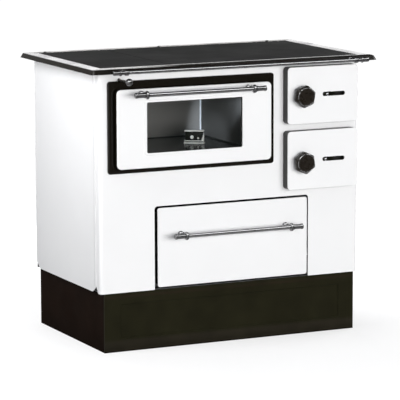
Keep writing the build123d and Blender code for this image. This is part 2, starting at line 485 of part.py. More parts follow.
# ---------------------------------------------------------------- fire door and ash door
def stove_door(name, z, height, hole, knob_z, slot_z, pin_x, knob_turn):
    """One stove door: enamelled pan, cast frame, inner plate, hinge pin, knob, latch and air slide."""
    span_x, span_z = around(DOOR_X, DOOR_W), around(z, height)
    pan_rear = FRONT - DOOR_FACE + PAN_DEPTH
    web_rear = pan_rear + WEB
    slot = (around(SLOT_X, SLOT_W), around(slot_z, SLOT_H))
    spindle = (KNOB_X, knob_z)

    with BuildPart() as pan:
        pressed_pan(pan, span_x, span_z, pan_rear, PAN_DEPTH, DOOR_CORNER_R, 1.9)
        pane(*slot, pan_rear, PAN_DEPTH, 6.0, Mode.SUBTRACT)
        bar("Y", pan_rear - PAN_DEPTH, pan_rear, spindle, 5.5, Mode.SUBTRACT)
    finish(pan, f"{name}_door_front")

    with BuildPart() as frame:
        frame_x, frame_z = grown(span_x, -FRAME_INSET), grown(span_z, -FRAME_INSET)
        back = FRONT - FRAME_REAR
        pane(frame_x, frame_z, back, back - pan_rear, DOOR_CORNER_R - FRAME_INSET)
        pane(grown(frame_x, -FRAME_WALL), grown(frame_z, -FRAME_WALL), back, back - web_rear,
             DOOR_CORNER_R - FRAME_INSET - FRAME_WALL, Mode.SUBTRACT)
        slab((DOOR_HINGE_X - LUG_R, frame_x[1]), (FRONT - BEAD, back), frame_z, Mode.SUBTRACT)
        for lug_z in (z - LUG_Z, z + LUG_Z):
            for low, high in ((-LUG_R - 12, -LUG_R - 2), (LUG_R + 2, LUG_R + 12)):
                slab((DOOR_HINGE_X - LUG_R, frame_x[1] - 1), (web_rear, FRONT - 10),
                     (lug_z + low, lug_z + high))
            slab((frame_x[1] - FRAME_WALL - 0.5, frame_x[1]), (pan_rear, back), around(lug_z, 2 * LUG_R + 4),
                 Mode.SUBTRACT)
        bar("Z", frame_z[0], frame_z[1], (DOOR_HINGE_X, FRONT - DOOR_HINGE_OUT), PIN_R, Mode.SUBTRACT)
        for side in (-1, 1):
            guide = sorted((slot_z + side * 14.3, slot_z + side * 17))
            slab((LEFT + 660, LEFT + 815), (web_rear, web_rear + WEB), guide)
        pane(*slot, web_rear, WEB, 6.0, Mode.SUBTRACT)
        for port_x in (LEFT + 692, LEFT + 706):
            pane(around(port_x, 8), around(slot_z, 22), web_rear, WEB, 3.0, Mode.SUBTRACT)
        bar("Y", pan_rear, web_rear, spindle, 5.0 + RUNNING, Mode.SUBTRACT)
        for x in (HOLE_X - 75, HOLE_X + 75):
            for foot_z in (hole[0] + 22, hole[1] - 22):
                bar("Y", web_rear, FRONT + 1, (x, foot_z), 5.0)
    finish(frame, f"{name}_door_frame")

    with BuildPart() as liner:
        pane(around(HOLE_X - 2, HOLE_W - 24), grown(hole, -8), FRONT + 5, 4, 6.0)
        bar("Y", FRONT + 1, FRONT + 5, spindle, 6.5, Mode.SUBTRACT)
    finish(liner, f"{name}_door_liner")

    with BuildPart() as pin:
        bar("Z", z - LUG_Z - LUG_R - 12, z + LUG_Z + LUG_R + 12, (DOOR_HINGE_X, FRONT - DOOR_HINGE_OUT),
            PIN_R)
    finish(pin, f"{name}_hinge_pin")

    with BuildPart() as knob:
        face_y, shoulder_y, neck_y = FRONT - 66, FRONT - 50, FRONT - DOOR_FACE - 0.5
        with BuildSketch(facing(shoulder_y)):
            with Locations(spindle):
                RegularPolygon(KNOB_CORNER_R, 6, rotation=knob_turn)
        extrude(amount=shoulder_y - face_y)
        axis = Axis((KNOB_X, 0, knob_z), (0, 1, 0))
        with BuildSketch(Plane(origin=(KNOB_X, 0, knob_z), x_dir=(1, 0, 0), z_dir=(0, 0, 1))):
            with BuildLine():
                Polyline((0, face_y), (KNOB_FACE_R, face_y), (KNOB_CORNER_R, face_y + 7),
                         (KNOB_CORNER_R, shoulder_y - 3), (KNOB_CORNER_R - 4, shoulder_y),
                         (0, shoulder_y), close=True)
            make_face()
        revolve(axis=axis, mode=Mode.INTERSECT)
        bar("Y", shoulder_y, neck_y, spindle, KNOB_NECK_R)
        bar("Y", shoulder_y - 8, neck_y, spindle, 5.0, Mode.SUBTRACT)
    finish(knob, f"{name}_knob")

    with BuildPart() as latch:
        bar("Y", shoulder_y - 8, FRONT + 14, spindle, 5.0)
        slab(around(KNOB_X, 12), (FRONT + 10, FRONT + 14), (knob_z - 40, knob_z))
    finish(latch, f"{name}_latch")

    with BuildPart() as slide:
        slab((pin_x - 60, pin_x + 12), (web_rear + 0.1, web_rear + 2.1), around(slot_z, 28))
        bar("Y", FRONT - DOOR_FACE - 4, web_rear + 0.1, (pin_x, slot_z - 1), 3.5)
        fillet(slide.edges().filter_by(GeomType.CIRCLE).sort_by(Axis.Y)[0], 2.0)
    finish(slide, f"{name}_air_slide")


for name, door in STOVE_DOORS.items():
    stove_door(name, **door)

# ---------------------------------------------------------------- firebox
with BuildPart() as firebox_front:
    casting_x, casting_z = (CASING_L + 4, CASING_R - 4), (SHELF_TOP + 4, BODY_TOP - 10)
    slab(casting_x, (CASING_FRONT - CASTING_T - THROAT, CASING_FRONT), casting_z)
    throat_y = (FRONT + SHEET, CASING_FRONT - CASTING_T)
    split_z = (FIRE["hole"][0] + ASH["hole"][1]) / 2
    throat_x = grown(casting_x, -4)
    slab(throat_x, throat_y, (casting_z[0] + 4, split_z - 4), Mode.SUBTRACT)
    slab(throat_x, throat_y, (split_z + 4, casting_z[1] - 4), Mode.SUBTRACT)
    for door in STOVE_DOORS.values():
        pane(around(HOLE_X, HOLE_W + 4), grown(door["hole"], 2), CASING_FRONT, CASTING_T, 6.0, Mode.SUBTRACT)
finish(firebox_front, "firebox_front")

INNER_X = (CASING_L + SHEET, CASING_R - SHEET)
INNER_BACK = CASING_BACK - SHEET
with BuildPart() as firebox_casing:
    slab((CASING_L, CASING_R), (CASING_FRONT, CASING_BACK), (SHELF_TOP, FLUE_BOX_TOP))
    slab(INNER_X, (CASING_FRONT, INNER_BACK), (ASH_FLOOR, FLUE_BOX_TOP), Mode.SUBTRACT)
    slab(INNER_X, (CASING_FRONT, INNER_BACK), (SHELF_TOP, ASH_FLOOR - SHEET), Mode.SUBTRACT)
    for wall, side in ((INNER_X[0], 1), (INNER_X[1], -1)):
        slab(sorted((wall, wall + side * 12)), (CASING_FRONT, INNER_BACK),
             (GRATE_Z - GRATE_FRAME_T - 4, GRATE_Z - GRATE_FRAME_T))
finish(firebox_casing, "firebox_casing")

GRATE_X = (INNER_X[0] + 34, INNER_X[1] - 34)
GRATE_Y = (CASING_FRONT + 38, INNER_BACK - 40)
with BuildPart() as grate_frame:
    slab(INNER_X, (CASING_FRONT, INNER_BACK), (GRATE_Z - GRATE_FRAME_T, GRATE_Z))
    slab(grown(GRATE_X, 1), grown(GRATE_Y, 1), (GRATE_Z - 8, GRATE_Z), Mode.SUBTRACT)
    slab(grown(GRATE_X, -8), grown(GRATE_Y, -8), (GRATE_Z - GRATE_FRAME_T, GRATE_Z), Mode.SUBTRACT)
finish(grate_frame, "grate_frame")

with BuildPart() as fire_grate:
    slab(GRATE_X, GRATE_Y, (GRATE_Z - 8, GRATE_Z))
    with BuildSketch(Plane.XY.offset(GRATE_Z - 8)):
        with Locations(((GRATE_X[0] + GRATE_X[1]) / 2, (GRATE_Y[0] + GRATE_Y[1]) / 2)):
            with GridLocations(18, 160, 9, 2):
                SlotOverall(140, 9, rotation=90)
    extrude(amount=8, mode=Mode.SUBTRACT)
finish(fire_grate, "fire_grate")

with BuildPart() as fire_bricks:
    joint = 1.0
    wall_y = (CASING_FRONT, INNER_BACK - BRICK_T)
    run = (wall_y[1] - wall_y[0]) / 3
    for index in range(3):
        start = wall_y[0] + index * run
        for near, far in ((INNER_X[0], INNER_X[0] + BRICK_T), (INNER_X[1] - BRICK_T, INNER_X[1])):
            slab((near, far), (start, start + run - joint), (GRATE_Z, BRICK_TOP))
    half = (INNER_X[1] - INNER_X[0]) / 2
    for start in (INNER_X[0], INNER_X[0] + half):
        slab((start, start + half - joint), (INNER_BACK - BRICK_T, INNER_BACK), (GRATE_Z, BRICK_TOP))
finish(fire_bricks, "fire_bricks")

with BuildPart() as ash_pan:
    pan_x, pan_y = around(HOLE_X, 180), (CASING_FRONT + 8, INNER_BACK - 20)
    slab(pan_x, pan_y, (ASH_FLOOR, ASH_FLOOR + 90))
    slab(grown(pan_x, -SHEET), grown(pan_y, -SHEET), (ASH_FLOOR + SHEET, ASH_FLOOR + 90), Mode.SUBTRACT)
finish(ash_pan, "ash_pan")

# ---------------------------------------------------------------- wood drawer
DRAWER_SPAN_X, DRAWER_SPAN_Z = around(DRAWER_X, DRAWER_W), (DRAWER_LOW, DRAWER_HIGH)
DRAWER_REAR = FRONT - DRAWER_FACE + DRAWER_PAN
RUNNER_TOP = FLOOR_Z + RUNNER_H

with BuildPart() as drawer_front:
    pressed_pan(drawer_front, DRAWER_SPAN_X, DRAWER_SPAN_Z, DRAWER_REAR, DRAWER_PAN, 7.0, 2.5)
finish(drawer_front, "drawer_front")

with BuildPart() as drawer_box:
    box_x, box_y = around(DRAWER_X, BOX_W), (DRAWER_REAR, DRAWER_REAR + BOX_D)
    pane(grown(DRAWER_SPAN_X, -SHEET - 0.3), grown(DRAWER_SPAN_Z, -SHEET - 0.3), DRAWER_REAR, SHEET, 4.5)
    slab(box_x, box_y, (RUNNER_TOP, BOX_TOP))
    slab(grown(box_x, -SHEET), (DRAWER_REAR, box_y[1] - SHEET), (RUNNER_TOP + SHEET, BOX_TOP),
         Mode.SUBTRACT)
finish(drawer_box, "drawer_box")

with BuildPart() as drawer_runners:
    for side in (-1, 1):
        outer = DRAWER_X + side * (BOX_W / 2 + 4)
        rail_y = (FRONT + WRAP, BACK - WRAP)
        slab(sorted((outer, outer - side * 24)), rail_y, (FLOOR_Z, RUNNER_TOP))
        slab(sorted((outer, outer - side * 2)), rail_y, (RUNNER_TOP, RUNNER_TOP + 16))
finish(drawer_runners, "drawer_runners")

# ---------------------------------------------------------------- flue and damper
with BuildPart() as flue_box:
    box_right = LEFT + 220
    rear_face = BACK - SHEET
    liner_rear, liner_top = FRONT + CAVITY_D + SHEET, CAVITY_HIGH + SHEET
    slab((LEFT + 31, box_right), (FRONT + 330, rear_face - POST), (FLUE_BOX_TOP - SHEET, FLUE_BOX_TOP))
    slab((LEFT + 31, box_right), (rear_face - POST, rear_face), (FLUE_BOX_TOP - SHEET, FLUE_BOX_TOP))
    slab((box_right - SHEET, box_right), (liner_rear, rear_face), (SHELF_TOP + 30, FLUE_BOX_TOP - SHEET))
    for x in (LEFT + 84, box_right - SHEET):
        slab((x, x + SHEET), (FRONT + 330, liner_rear), (liner_top, FLUE_BOX_TOP - SHEET))
    slab(DAMPER_PORT, (FRONT + 428, FRONT + 474), (FLUE_BOX_TOP - SHEET, FLUE_BOX_TOP), Mode.SUBTRACT)
finish(flue_box, "flue_box")

with BuildPart() as flue_spigot:
    start = BACK + SPIGOT_REACH - FLUE_LENGTH
    bar("Y", start, BACK + SPIGOT_REACH, (FLUE_X, FLUE_Z), FLUE_R + FLUE_WALL)
    bar("Y", BACK, BACK + SHEET, (FLUE_X, FLUE_Z), FLUE_R + 16)
    bar("Y", start, BACK + SPIGOT_REACH, (FLUE_X, FLUE_Z), FLUE_R, Mode.SUBTRACT)
finish(flue_spigot, "flue_spigot")

with BuildPart() as damper_bush:
    bar("Y", FRONT + SHEET, FRONT + 8, (DAMPER_X, DAMPER_Z), 8.0)
    bar("Y", FRONT, FRONT + SHEET, (DAMPER_X, DAMPER_Z), 5.0)
    bar("Y", FRONT, FRONT + 8, (DAMPER_X, DAMPER_Z), ROD_R + RUNNING, Mode.SUBTRACT)
finish(damper_bush, "damper_bush")

with BuildPart() as damper_rod:
    bar("Y", FRONT - BALL_OUT, ROD_END, (DAMPER_X, DAMPER_Z), ROD_R)
finish(damper_rod, "damper_rod")

with BuildPart() as damper_ball:
    with Locations((DAMPER_X, FRONT - BALL_OUT, DAMPER_Z)):
        Sphere(BALL_R)
    bar("Y", FRONT - BALL_OUT, FRONT - BALL_OUT + BALL_R, (DAMPER_X, DAMPER_Z), ROD_R, Mode.SUBTRACT)
finish(damper_ball, "damper_ball")

with BuildPart() as damper_slide:
    slab(grown(DAMPER_PORT, 8), (FRONT + 372, FRONT + 430), (FLUE_BOX_TOP + 0.2, FLUE_BOX_TOP + 3.2))
    slab(around(DAMPER_X, 12), (ROD_END - 12, ROD_END), (FLUE_BOX_TOP + 3.2, DAMPER_Z + 7))
    bar("Y", ROD_END - 12, ROD_END, (DAMPER_X, DAMPER_Z), ROD_R, Mode.SUBTRACT)
finish(damper_slide, "damper_slide")
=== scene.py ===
"""Enamelled wood cookstove: finishes, turned fittings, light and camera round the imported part."""

import json
import math

import bmesh
import bpy
from bpy.props import FloatProperty, FloatVectorProperty, IntProperty, PointerProperty
from mathutils import Matrix, Vector


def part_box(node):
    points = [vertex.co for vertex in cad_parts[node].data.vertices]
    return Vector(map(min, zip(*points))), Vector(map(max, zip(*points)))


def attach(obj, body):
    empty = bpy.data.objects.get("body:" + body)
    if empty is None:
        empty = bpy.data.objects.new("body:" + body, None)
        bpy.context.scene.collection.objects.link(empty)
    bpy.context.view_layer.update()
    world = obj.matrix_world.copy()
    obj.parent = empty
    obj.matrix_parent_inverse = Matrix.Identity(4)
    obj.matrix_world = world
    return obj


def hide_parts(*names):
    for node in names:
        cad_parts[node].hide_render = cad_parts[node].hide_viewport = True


bl_info = {
    "name": "Enamelled Wood Cookstove",
    "version": (1, 0, 0),
    "blender": (4, 5, 0),
    "location": "3D View > Sidebar > Cookstove",
    "description": "Finishes and fittings of an enamelled wood cookstove",
    "category": "Object",
}

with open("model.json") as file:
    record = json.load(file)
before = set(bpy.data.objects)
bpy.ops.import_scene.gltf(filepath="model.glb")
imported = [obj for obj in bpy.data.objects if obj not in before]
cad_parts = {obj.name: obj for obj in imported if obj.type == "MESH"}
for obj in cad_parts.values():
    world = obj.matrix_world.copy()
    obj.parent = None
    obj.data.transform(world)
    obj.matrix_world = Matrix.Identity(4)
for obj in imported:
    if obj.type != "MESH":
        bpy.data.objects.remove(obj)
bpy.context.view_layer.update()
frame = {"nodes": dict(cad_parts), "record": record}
NODES = frame["nodes"]
SLOT_OF = {part["node"]: part["material_slot"] for part in frame["record"]["subparts"]}
MM = 0.001


# ---------------------------------------------------------------- settings
COLOUR = {"subtype": "COLOR", "size": 3, "min": 0, "max": 1}


class FinishSettings(bpy.types.PropertyGroup):
    """Colours and gloss of the stove's finishes."""

    white: FloatVectorProperty(
        name="White enamel", description="Colour of the white enamel",
        default=(0.86, 0.862, 0.872), **COLOUR)
    black: FloatVectorProperty(
        name="Black enamel", description="Colour of the black enamel",
        default=(0.0072, 0.0058, 0.0038), **COLOUR)
    plinth_face: FloatVectorProperty(
        name="Plinth front", description="Colour of the plinth's front",
        default=(0.0125, 0.0118, 0.0055), **COLOUR)
    # the plinth's sides are a darker, redder copy of the front's enamel: painted shade
    plinth_side: FloatVectorProperty(
        name="Plinth sides", description="Colour of the plinth's sides",
        default=(0.0105, 0.0062, 0.0045), **COLOUR)
    door_side: FloatVectorProperty(
        name="Door sides", description="Colour of the cast door frames",
        default=(0.0065, 0.0062, 0.0045), **COLOUR)
    plate: FloatVectorProperty(
        name="Cooking plates", description="Colour of the blackened cooking plates",
        default=(0.0125, 0.0125, 0.0125), **COLOUR)
    chrome: FloatVectorProperty(
        name="Chrome", description="Colour of the chrome",
        default=(0.57, 0.57, 0.58), **COLOUR)
    oven: FloatVectorProperty(
        name="Oven enamel", description="Colour of the enamel inside the oven",
        default=(0.20, 0.198, 0.19), **COLOUR)
    white_gloss: FloatProperty(
        name="White roughness", description="Roughness of the white enamel", subtype="FACTOR",
        min=0, max=1, default=0.22)


class FittingSettings(bpy.types.PropertyGroup):
    """Sizes of the turned fittings."""

    eye_span: FloatProperty(
        name="Eye span", description="Distance between the eyes of a bar handle", unit="LENGTH",
        default=0.350)
    post_span: FloatProperty(
        name="Rail post span", description="Distance between the posts of the towel rail", unit="LENGTH",
        default=0.756)
    knob_corner: FloatProperty(
        name="Knob corner radius", description="Radius over the corners of the six-sided knobs",
        unit="LENGTH", default=0.0352)
    knob_face: FloatProperty(
        name="Knob face radius", description="Radius of the round face of a knob", unit="LENGTH",
        default=0.028)
    strip_width: FloatProperty(
        name="Strip width", description="Width of the steel strips round the cooking plates",
        unit="LENGTH", default=0.037)
    turning_steps: IntProperty(
        name="Turning steps", description="Facets round a turned fitting", min=16, max=96, default=48)


class LightSettings(bpy.types.PropertyGroup):
    """Studio light and camera."""

    ambient: FloatProperty(
        name="Ambient", description="Strength of the room light", min=0, max=5, default=0.16)
    key: FloatProperty(
        name="Key lamp", description="Power of the large front lamp", subtype="POWER", default=197.0)
    fill: FloatProperty(
        name="Fill lamps", description="Power that the side and rear lamps take a share of",
        subtype="POWER", default=23.6)
    glow: FloatProperty(
        name="Oven glow", description="Power of the light on the oven's back wall", subtype="POWER",
        default=7.6)
    lens: FloatProperty(
        name="Lens", description="Focal length of the camera", unit="CAMERA", default=241.6)


# ---------------------------------------------------------------- node helpers
MIX_FACTOR, MIX_A, MIX_B, MIX_RESULT = 0, 6, 7, 2  # sockets of a Mix node that mixes colours


def add_node(tree, kind, inputs=None, **settings):
    """A shader node with its settings and unlinked inputs filled in."""
    made = tree.nodes.new(kind)
    for name, value in settings.items():
        setattr(made, name, value)
    for name, value in (inputs or {}).items():
        made.inputs[name].default_value = value
    return made


def join(tree, *pairs):
    """Link outputs to inputs, given as pairs."""
    for source, target in pairs:
        tree.links.new(source, target)


def emptied(owner):
    """The node tree of a new material or world, with nothing in it."""
    owner.use_nodes = True
    owner.node_tree.nodes.clear()
    return owner.node_tree


def map_range(tree, start, end, low=0.0, high=1.0, **settings):
    """Node that turns the range start to end into low to high."""
    return add_node(tree, "ShaderNodeMapRange",
                    {"From Min": start, "From Max": end, "To Min": low, "To Max": high}, **settings)


def axes(tree, coordinates="Object"):
    """The X, Y and Z of each point, as outputs by letter."""
    place = add_node(tree, "ShaderNodeTexCoord")
    split = add_node(tree, "ShaderNodeSeparateXYZ")
    join(tree, (place.outputs[coordinates], split.inputs["Vector"]))
    return split.outputs


def ramp(tree, *stops):
    """Colour ramp through stops of (position, colour)."""
    made = add_node(tree, "ShaderNodeValToRGB")
    band = made.color_ramp
    while len(band.elements) < len(stops):
        band.elements.new(0.5)
    for element, (position, colour) in zip(band.elements, stops):
        element.position = position
        element.color = (*colour, 1)
    return made


def shader_group(name, inputs, outputs):
    """An empty node group with its inputs (name: default) and float outputs."""
    group = bpy.data.node_groups.new(name, "ShaderNodeTree")
    for socket_name, default in inputs.items():
        kind = "NodeSocketVector" if isinstance(default, tuple) else "NodeSocketFloat"
        socket = group.interface.new_socket(socket_name, in_out="INPUT", socket_type=kind)
        socket.default_value = default
    for socket_name in outputs:
        group.interface.new_socket(socket_name, in_out="OUTPUT", socket_type="NodeSocketFloat")
    entry = group.nodes.new("NodeGroupInput")
    leave = group.nodes.new("NodeGroupOutput")
    return group, entry, leave


def haze_group():
    """Gloss that varies a little in soft patches."""
    group, entry, leave = shader_group(
        "Surface haze", {"Scale": 6.0, "Low": 0.15, "High": 0.25}, ["Roughness"])
    place = add_node(group, "ShaderNodeTexCoord")
    broad = add_node(group, "ShaderNodeTexNoise", {"Detail": 4.0, "Roughness": 0.6})
    spread = map_range(group, 0.3, 0.7)
    join(group,
         (place.outputs["Object"], broad.inputs["Vector"]),
         (entry.outputs["Scale"], broad.inputs["Scale"]),
         (broad.outputs["Fac"], spread.inputs["Value"]),
         (entry.outputs["Low"], spread.inputs["To Min"]),
         (entry.outputs["High"], spread.inputs["To Max"]),
         (spread.outputs["Result"], leave.inputs["Roughness"]))
    return group


def ripple_group():
    """The slow ripple and fine peel of fired enamel."""
    group, entry, leave = shader_group(
        "Enamel ripple", {"Ripple": 9.0, "Peel": 420.0}, ["Height", "Tone"])
    place = add_node(group, "ShaderNodeTexCoord")
    slow = add_node(group, "ShaderNodeTexNoise", {"Detail": 1.0})
    fine = add_node(group, "ShaderNodeTexNoise", {"Detail": 2.0, "Roughness": 0.45})
    weight = add_node(group, "ShaderNodeMath", {1: 0.06}, operation="MULTIPLY")
    total = add_node(group, "ShaderNodeMath", operation="ADD")
    join(group,
         (place.outputs["Object"], slow.inputs["Vector"]),
         (place.outputs["Object"], fine.inputs["Vector"]),
         (entry.outputs["Ripple"], slow.inputs["Scale"]),
         (entry.outputs["Peel"], fine.inputs["Scale"]),
         (fine.outputs["Fac"], weight.inputs[0]),
         (weight.outputs["Value"], total.inputs[0]),
         (slow.outputs["Fac"], total.inputs[1]),
         (total.outputs["Value"], leave.inputs["Height"]),
         (slow.outputs["Fac"], leave.inputs["Tone"]))
    return group


def grain_group():
    """Long fine lines left by grinding or rolling; Stretch sets their direction."""
    group, entry, leave = shader_group(
        "Ground grain", {"Stretch": (4.0, 900.0, 900.0)}, ["Height", "Shade"])
    place = add_node(group, "ShaderNodeTexCoord")
    stretch = add_node(group, "ShaderNodeVectorMath", operation="MULTIPLY")
    lines = add_node(group, "ShaderNodeTexNoise", {"Scale": 1.0, "Detail": 5.0, "Roughness": 0.65})
    contrast = map_range(group, 0.32, 0.68)
    join(group,
         (place.outputs["Object"], stretch.inputs[0]),
         (entry.outputs["Stretch"], stretch.inputs[1]),
         (stretch.outputs["Vector"], lines.inputs["Vector"]),
         (lines.outputs["Fac"], contrast.inputs["Value"]),
         (lines.outputs["Fac"], leave.inputs["Height"]),
         (contrast.outputs["Result"], leave.inputs["Shade"]))
    return group


def cast_group():
    """The sandy skin of a casting or a fired brick, with small pits."""
    group, entry, leave = shader_group(
        "Cast skin", {"Scale": 700.0, "Pits": 120.0}, ["Height", "Shade"])
    place = add_node(group, "ShaderNodeTexCoord")
    sand = add_node(group, "ShaderNodeTexNoise", {"Detail": 6.0, "Roughness": 0.7})
    cells = add_node(group, "ShaderNodeTexVoronoi", feature="F1")
    pit = map_range(group, 0.0, 0.35)
    blend = add_node(group, "ShaderNodeMath", operation="MULTIPLY")
    join(group,
         (place.outputs["Object"], sand.inputs["Vector"]),
         (place.outputs["Object"], cells.inputs["Vector"]),
         (entry.outputs["Scale"], sand.inputs["Scale"]),
         (entry.outputs["Pits"], cells.inputs["Scale"]),
         (cells.outputs["Distance"], pit.inputs["Value"]),
         (sand.outputs["Fac"], blend.inputs[0]),
         (pit.outputs["Result"], blend.inputs[1]),
         (blend.outputs["Value"], leave.inputs["Height"]),
         (sand.outputs["Fac"], leave.inputs["Shade"]))
    return group


GROUP_MAKERS = {"haze": haze_group, "ripple": ripple_group, "grain": grain_group, "cast": cast_group}
GROUPS = {}


def placed(tree, name, **inputs):
    """One of the shared groups in a material, with its own values."""
    if name not in GROUPS:
        GROUPS[name] = GROUP_MAKERS[name]()
    made = add_node(tree, "ShaderNodeGroup", node_tree=GROUPS[name])
    for socket, value in inputs.items():
        made.inputs[socket].default_value = value
    return made


def blank(name, **sockets):
    """A material with a Principled shader, its tree and that shader."""
    material = bpy.data.materials.new(name)
    tree = emptied(material)
    leave = add_node(tree, "ShaderNodeOutputMaterial")
    shader = add_node(tree, "ShaderNodeBsdfPrincipled")
    join(tree, (shader.outputs["BSDF"], leave.inputs["Surface"]))
    for socket, value in sockets.items():
        shader.inputs[socket.replace("_", " ")].default_value = value
    return material, tree, shader


def shade(colour, factor):
    """A colour made darker or lighter."""
    return tuple(min(1.0, channel * factor) for channel in colour)


def tinted(tree, shader, mask, dark, light):
    """Base colour that runs between two colours by a mask."""
    mix = add_node(tree, "ShaderNodeMix", data_type="RGBA")
    mix.inputs[MIX_A].default_value = (*dark, 1)
    mix.inputs[MIX_B].default_value = (*light, 1)
    join(tree, (mask, mix.inputs[MIX_FACTOR]), (mix.outputs[MIX_RESULT], shader.inputs["Base Color"]))


def bumped(tree, shader, height, strength, distance):
    """Surface relief from a height."""
    bump = add_node(tree, "ShaderNodeBump", {"Strength": strength, "Distance": distance})
    join(tree, (height, bump.inputs["Height"]), (bump.outputs["Normal"], shader.inputs["Normal"]))


def hazed(tree, shader, scale, low, high):
    """Roughness that wanders between two values."""
    haze = placed(tree, "haze", Scale=scale, Low=low, High=high)
    join(tree, (haze.outputs["Roughness"], shader.inputs["Roughness"]))


# ---------------------------------------------------------------- finishes
ENAMEL_IOR = 1.5
PEEL_DEPTH = 1.2 * MM
BLOTCH_DEPTH = 0.8 * MM
CAST_DEPTH = 0.6 * MM
GRAIN_DEPTH = 0.2 * MM
BRUSHED = (3.0, 300.0, 300.0)
GROUND = (3.0, 700.0, 700.0)
ROLLED_DEEP = (260.0, 2.5, 260.0)
ROLLED_ACROSS = (2.5, 260.0, 260.0)


def enamel(name, colour, roughness, coat):
    """Fired enamel on sheet steel."""
    material, tree, shader = blank(name, IOR=ENAMEL_IOR, Coat_Weight=coat, Coat_Roughness=0.06)
    ripple = placed(tree, "ripple")
    tinted(tree, shader, ripple.outputs["Tone"], shade(colour, 0.985), shade(colour, 1.015))
    bumped(tree, shader, ripple.outputs["Height"], 0.25, PEEL_DEPTH)
    hazed(tree, shader, 5.0, roughness * 0.85, roughness * 1.2)
    return material


def satin_black(name, bands, roughness, level):
    """Low-gloss black enamel with blotches; its colour changes with height, in bands of (share, colour) that
    paint light and shade.
    """
    material, tree, shader = blank(name, IOR=ENAMEL_IOR, Specular_IOR_Level=level)
    height = map_range(tree, 0.0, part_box("plinth_front")[1].z)
    colours = ramp(tree, *bands)
    blotch = placed(tree, "ripple", Ripple=16.0)
    spread = map_range(tree, 0.0, 1.0, 0.66, 1.34)
    mottled = add_node(tree, "ShaderNodeVectorMath", operation="SCALE")
    bumped(tree, shader, blotch.outputs["Height"], 0.12, BLOTCH_DEPTH)
    hazed(tree, shader, 9.0, roughness * 0.9, roughness * 1.15)
    join(tree,
         (axes(tree)["Z"], height.inputs["Value"]),
         (height.outputs["Result"], colours.inputs["Fac"]),
         (colours.outputs["Color"], mottled.inputs[0]),
         (blotch.outputs["Tone"], spread.inputs["Value"]),
         (spread.outputs["Result"], mottled.inputs["Scale"]),
         (mottled.outputs["Vector"], shader.inputs["Base Color"]))
    return material


def casting(name, colour, roughness, relief, metallic=0.0):
    """Bare or painted casting, or fired brick."""
    material, tree, shader = blank(name, Metallic=metallic)
    skin = placed(tree, "cast")
    tinted(tree, shader, skin.outputs["Shade"], shade(colour, 0.8), shade(colour, 1.2))
    bumped(tree, shader, skin.outputs["Height"], relief, CAST_DEPTH)
    hazed(tree, shader, 14.0, roughness * 0.85, min(1.0, roughness * 1.15))
    return material


def ground_metal(name, colour, stretch, gloss, contrast, relief, patches=7.0, **sockets):
    """Rolled, brushed or ground metal; gloss is its least and greatest roughness."""
    material, tree, shader = blank(name, **sockets)
    grain = placed(tree, "grain", Stretch=stretch)
    tinted(tree, shader, grain.outputs["Shade"], shade(colour, 1 - contrast), shade(colour, 1 + contrast))
    bumped(tree, shader, grain.outputs["Height"], relief, GRAIN_DEPTH)
    hazed(tree, shader, patches, *gloss)
    return material


def rolled_strip(name, stretch, light, dark, gloss):
    """Polished rolled steel with long grain and painted bluish grey reflection patches; its front 26 mm is
    painted dark and not metallic, except towards the left end.
    """
    material, tree, shader = blank(name, IOR=1.02, Specular_IOR_Level=0.1)
    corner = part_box("top_strip")[0]
    point = axes(tree)
    # within 26 mm of the front and away from the left end the strips are painted dark and not metallic
    inner = map_range(tree, corner.y + 26 * MM, corner.y + 28 * MM)
    left = map_range(tree, corner.x + 280 * MM, corner.x + 110 * MM)
    steel_shown = add_node(tree, "ShaderNodeMath", operation="MAXIMUM")
    grain = placed(tree, "grain", Stretch=stretch)
    patch = placed(tree, "ripple", Ripple=17.0)
    # the light and dark patches paint the polished steel's reflections
    spread = map_range(tree, 0.36, 0.60)
    both = add_node(tree, "ShaderNodeMath", {1: 0.35}, operation="MULTIPLY_ADD")
    steel = add_node(tree, "ShaderNodeMix", data_type="RGBA")
    steel.inputs[MIX_A].default_value = (*dark, 1)
    steel.inputs[MIX_B].default_value = (*light, 1)
    mix = add_node(tree, "ShaderNodeMix", data_type="RGBA")
    mix.inputs[MIX_A].default_value = (0.010, 0.009, 0.007, 1)
    bumped(tree, shader, grain.outputs["Height"], 0.10, GRAIN_DEPTH)
    hazed(tree, shader, 11.0, *gloss)
    join(tree,
         (point["Y"], inner.inputs["Value"]),
         (point["X"], left.inputs["Value"]),
         (inner.outputs["Result"], steel_shown.inputs[0]),
         (left.outputs["Result"], steel_shown.inputs[1]),
         (patch.outputs["Tone"], spread.inputs["Value"]),
         (grain.outputs["Shade"], both.inputs[0]),
         (spread.outputs["Result"], both.inputs[2]),
         (both.outputs["Value"], steel.inputs[MIX_FACTOR]),
         (steel_shown.outputs["Value"], mix.inputs[MIX_FACTOR]),
         (steel.outputs[MIX_RESULT], mix.inputs[MIX_B]),
         (mix.outputs[MIX_RESULT], shader.inputs["Base Color"]),
         (steel_shown.outputs["Value"], shader.inputs["Metallic"]))
    return material


def chrome_plate(name, colour):
    """Bright chrome with faint waves and polishing haze."""
    material, tree, shader = blank(name, Metallic=1.0, Specular_Tint=(0.12, 0.12, 0.12, 1))
    ripple = placed(tree, "ripple", Ripple=38.0, Peel=900.0)
    tinted(tree, shader, ripple.outputs["Tone"], shade(colour, 0.94), shade(colour, 1.04))
    bumped(tree, shader, ripple.outputs["Height"], 0.04, PEEL_DEPTH)
    hazed(tree, shader, 40.0, 0.02, 0.05)
    return material


def moulded(name, colour, gloss):
    """Glossy moulded knob material with a faint swirl."""
    material, tree, shader = blank(name, IOR=ENAMEL_IOR, Specular_IOR_Level=0.3, Coat_Weight=0.08,
                                   Coat_Roughness=0.12)
    ripple = placed(tree, "ripple", Ripple=55.0, Peel=1400.0)
    tinted(tree, shader, ripple.outputs["Tone"], shade(colour, 0.8), shade(colour, 1.25))
    bumped(tree, shader, ripple.outputs["Height"], 0.15, GRAIN_DEPTH)
    hazed(tree, shader, 60.0, *gloss)
    return material


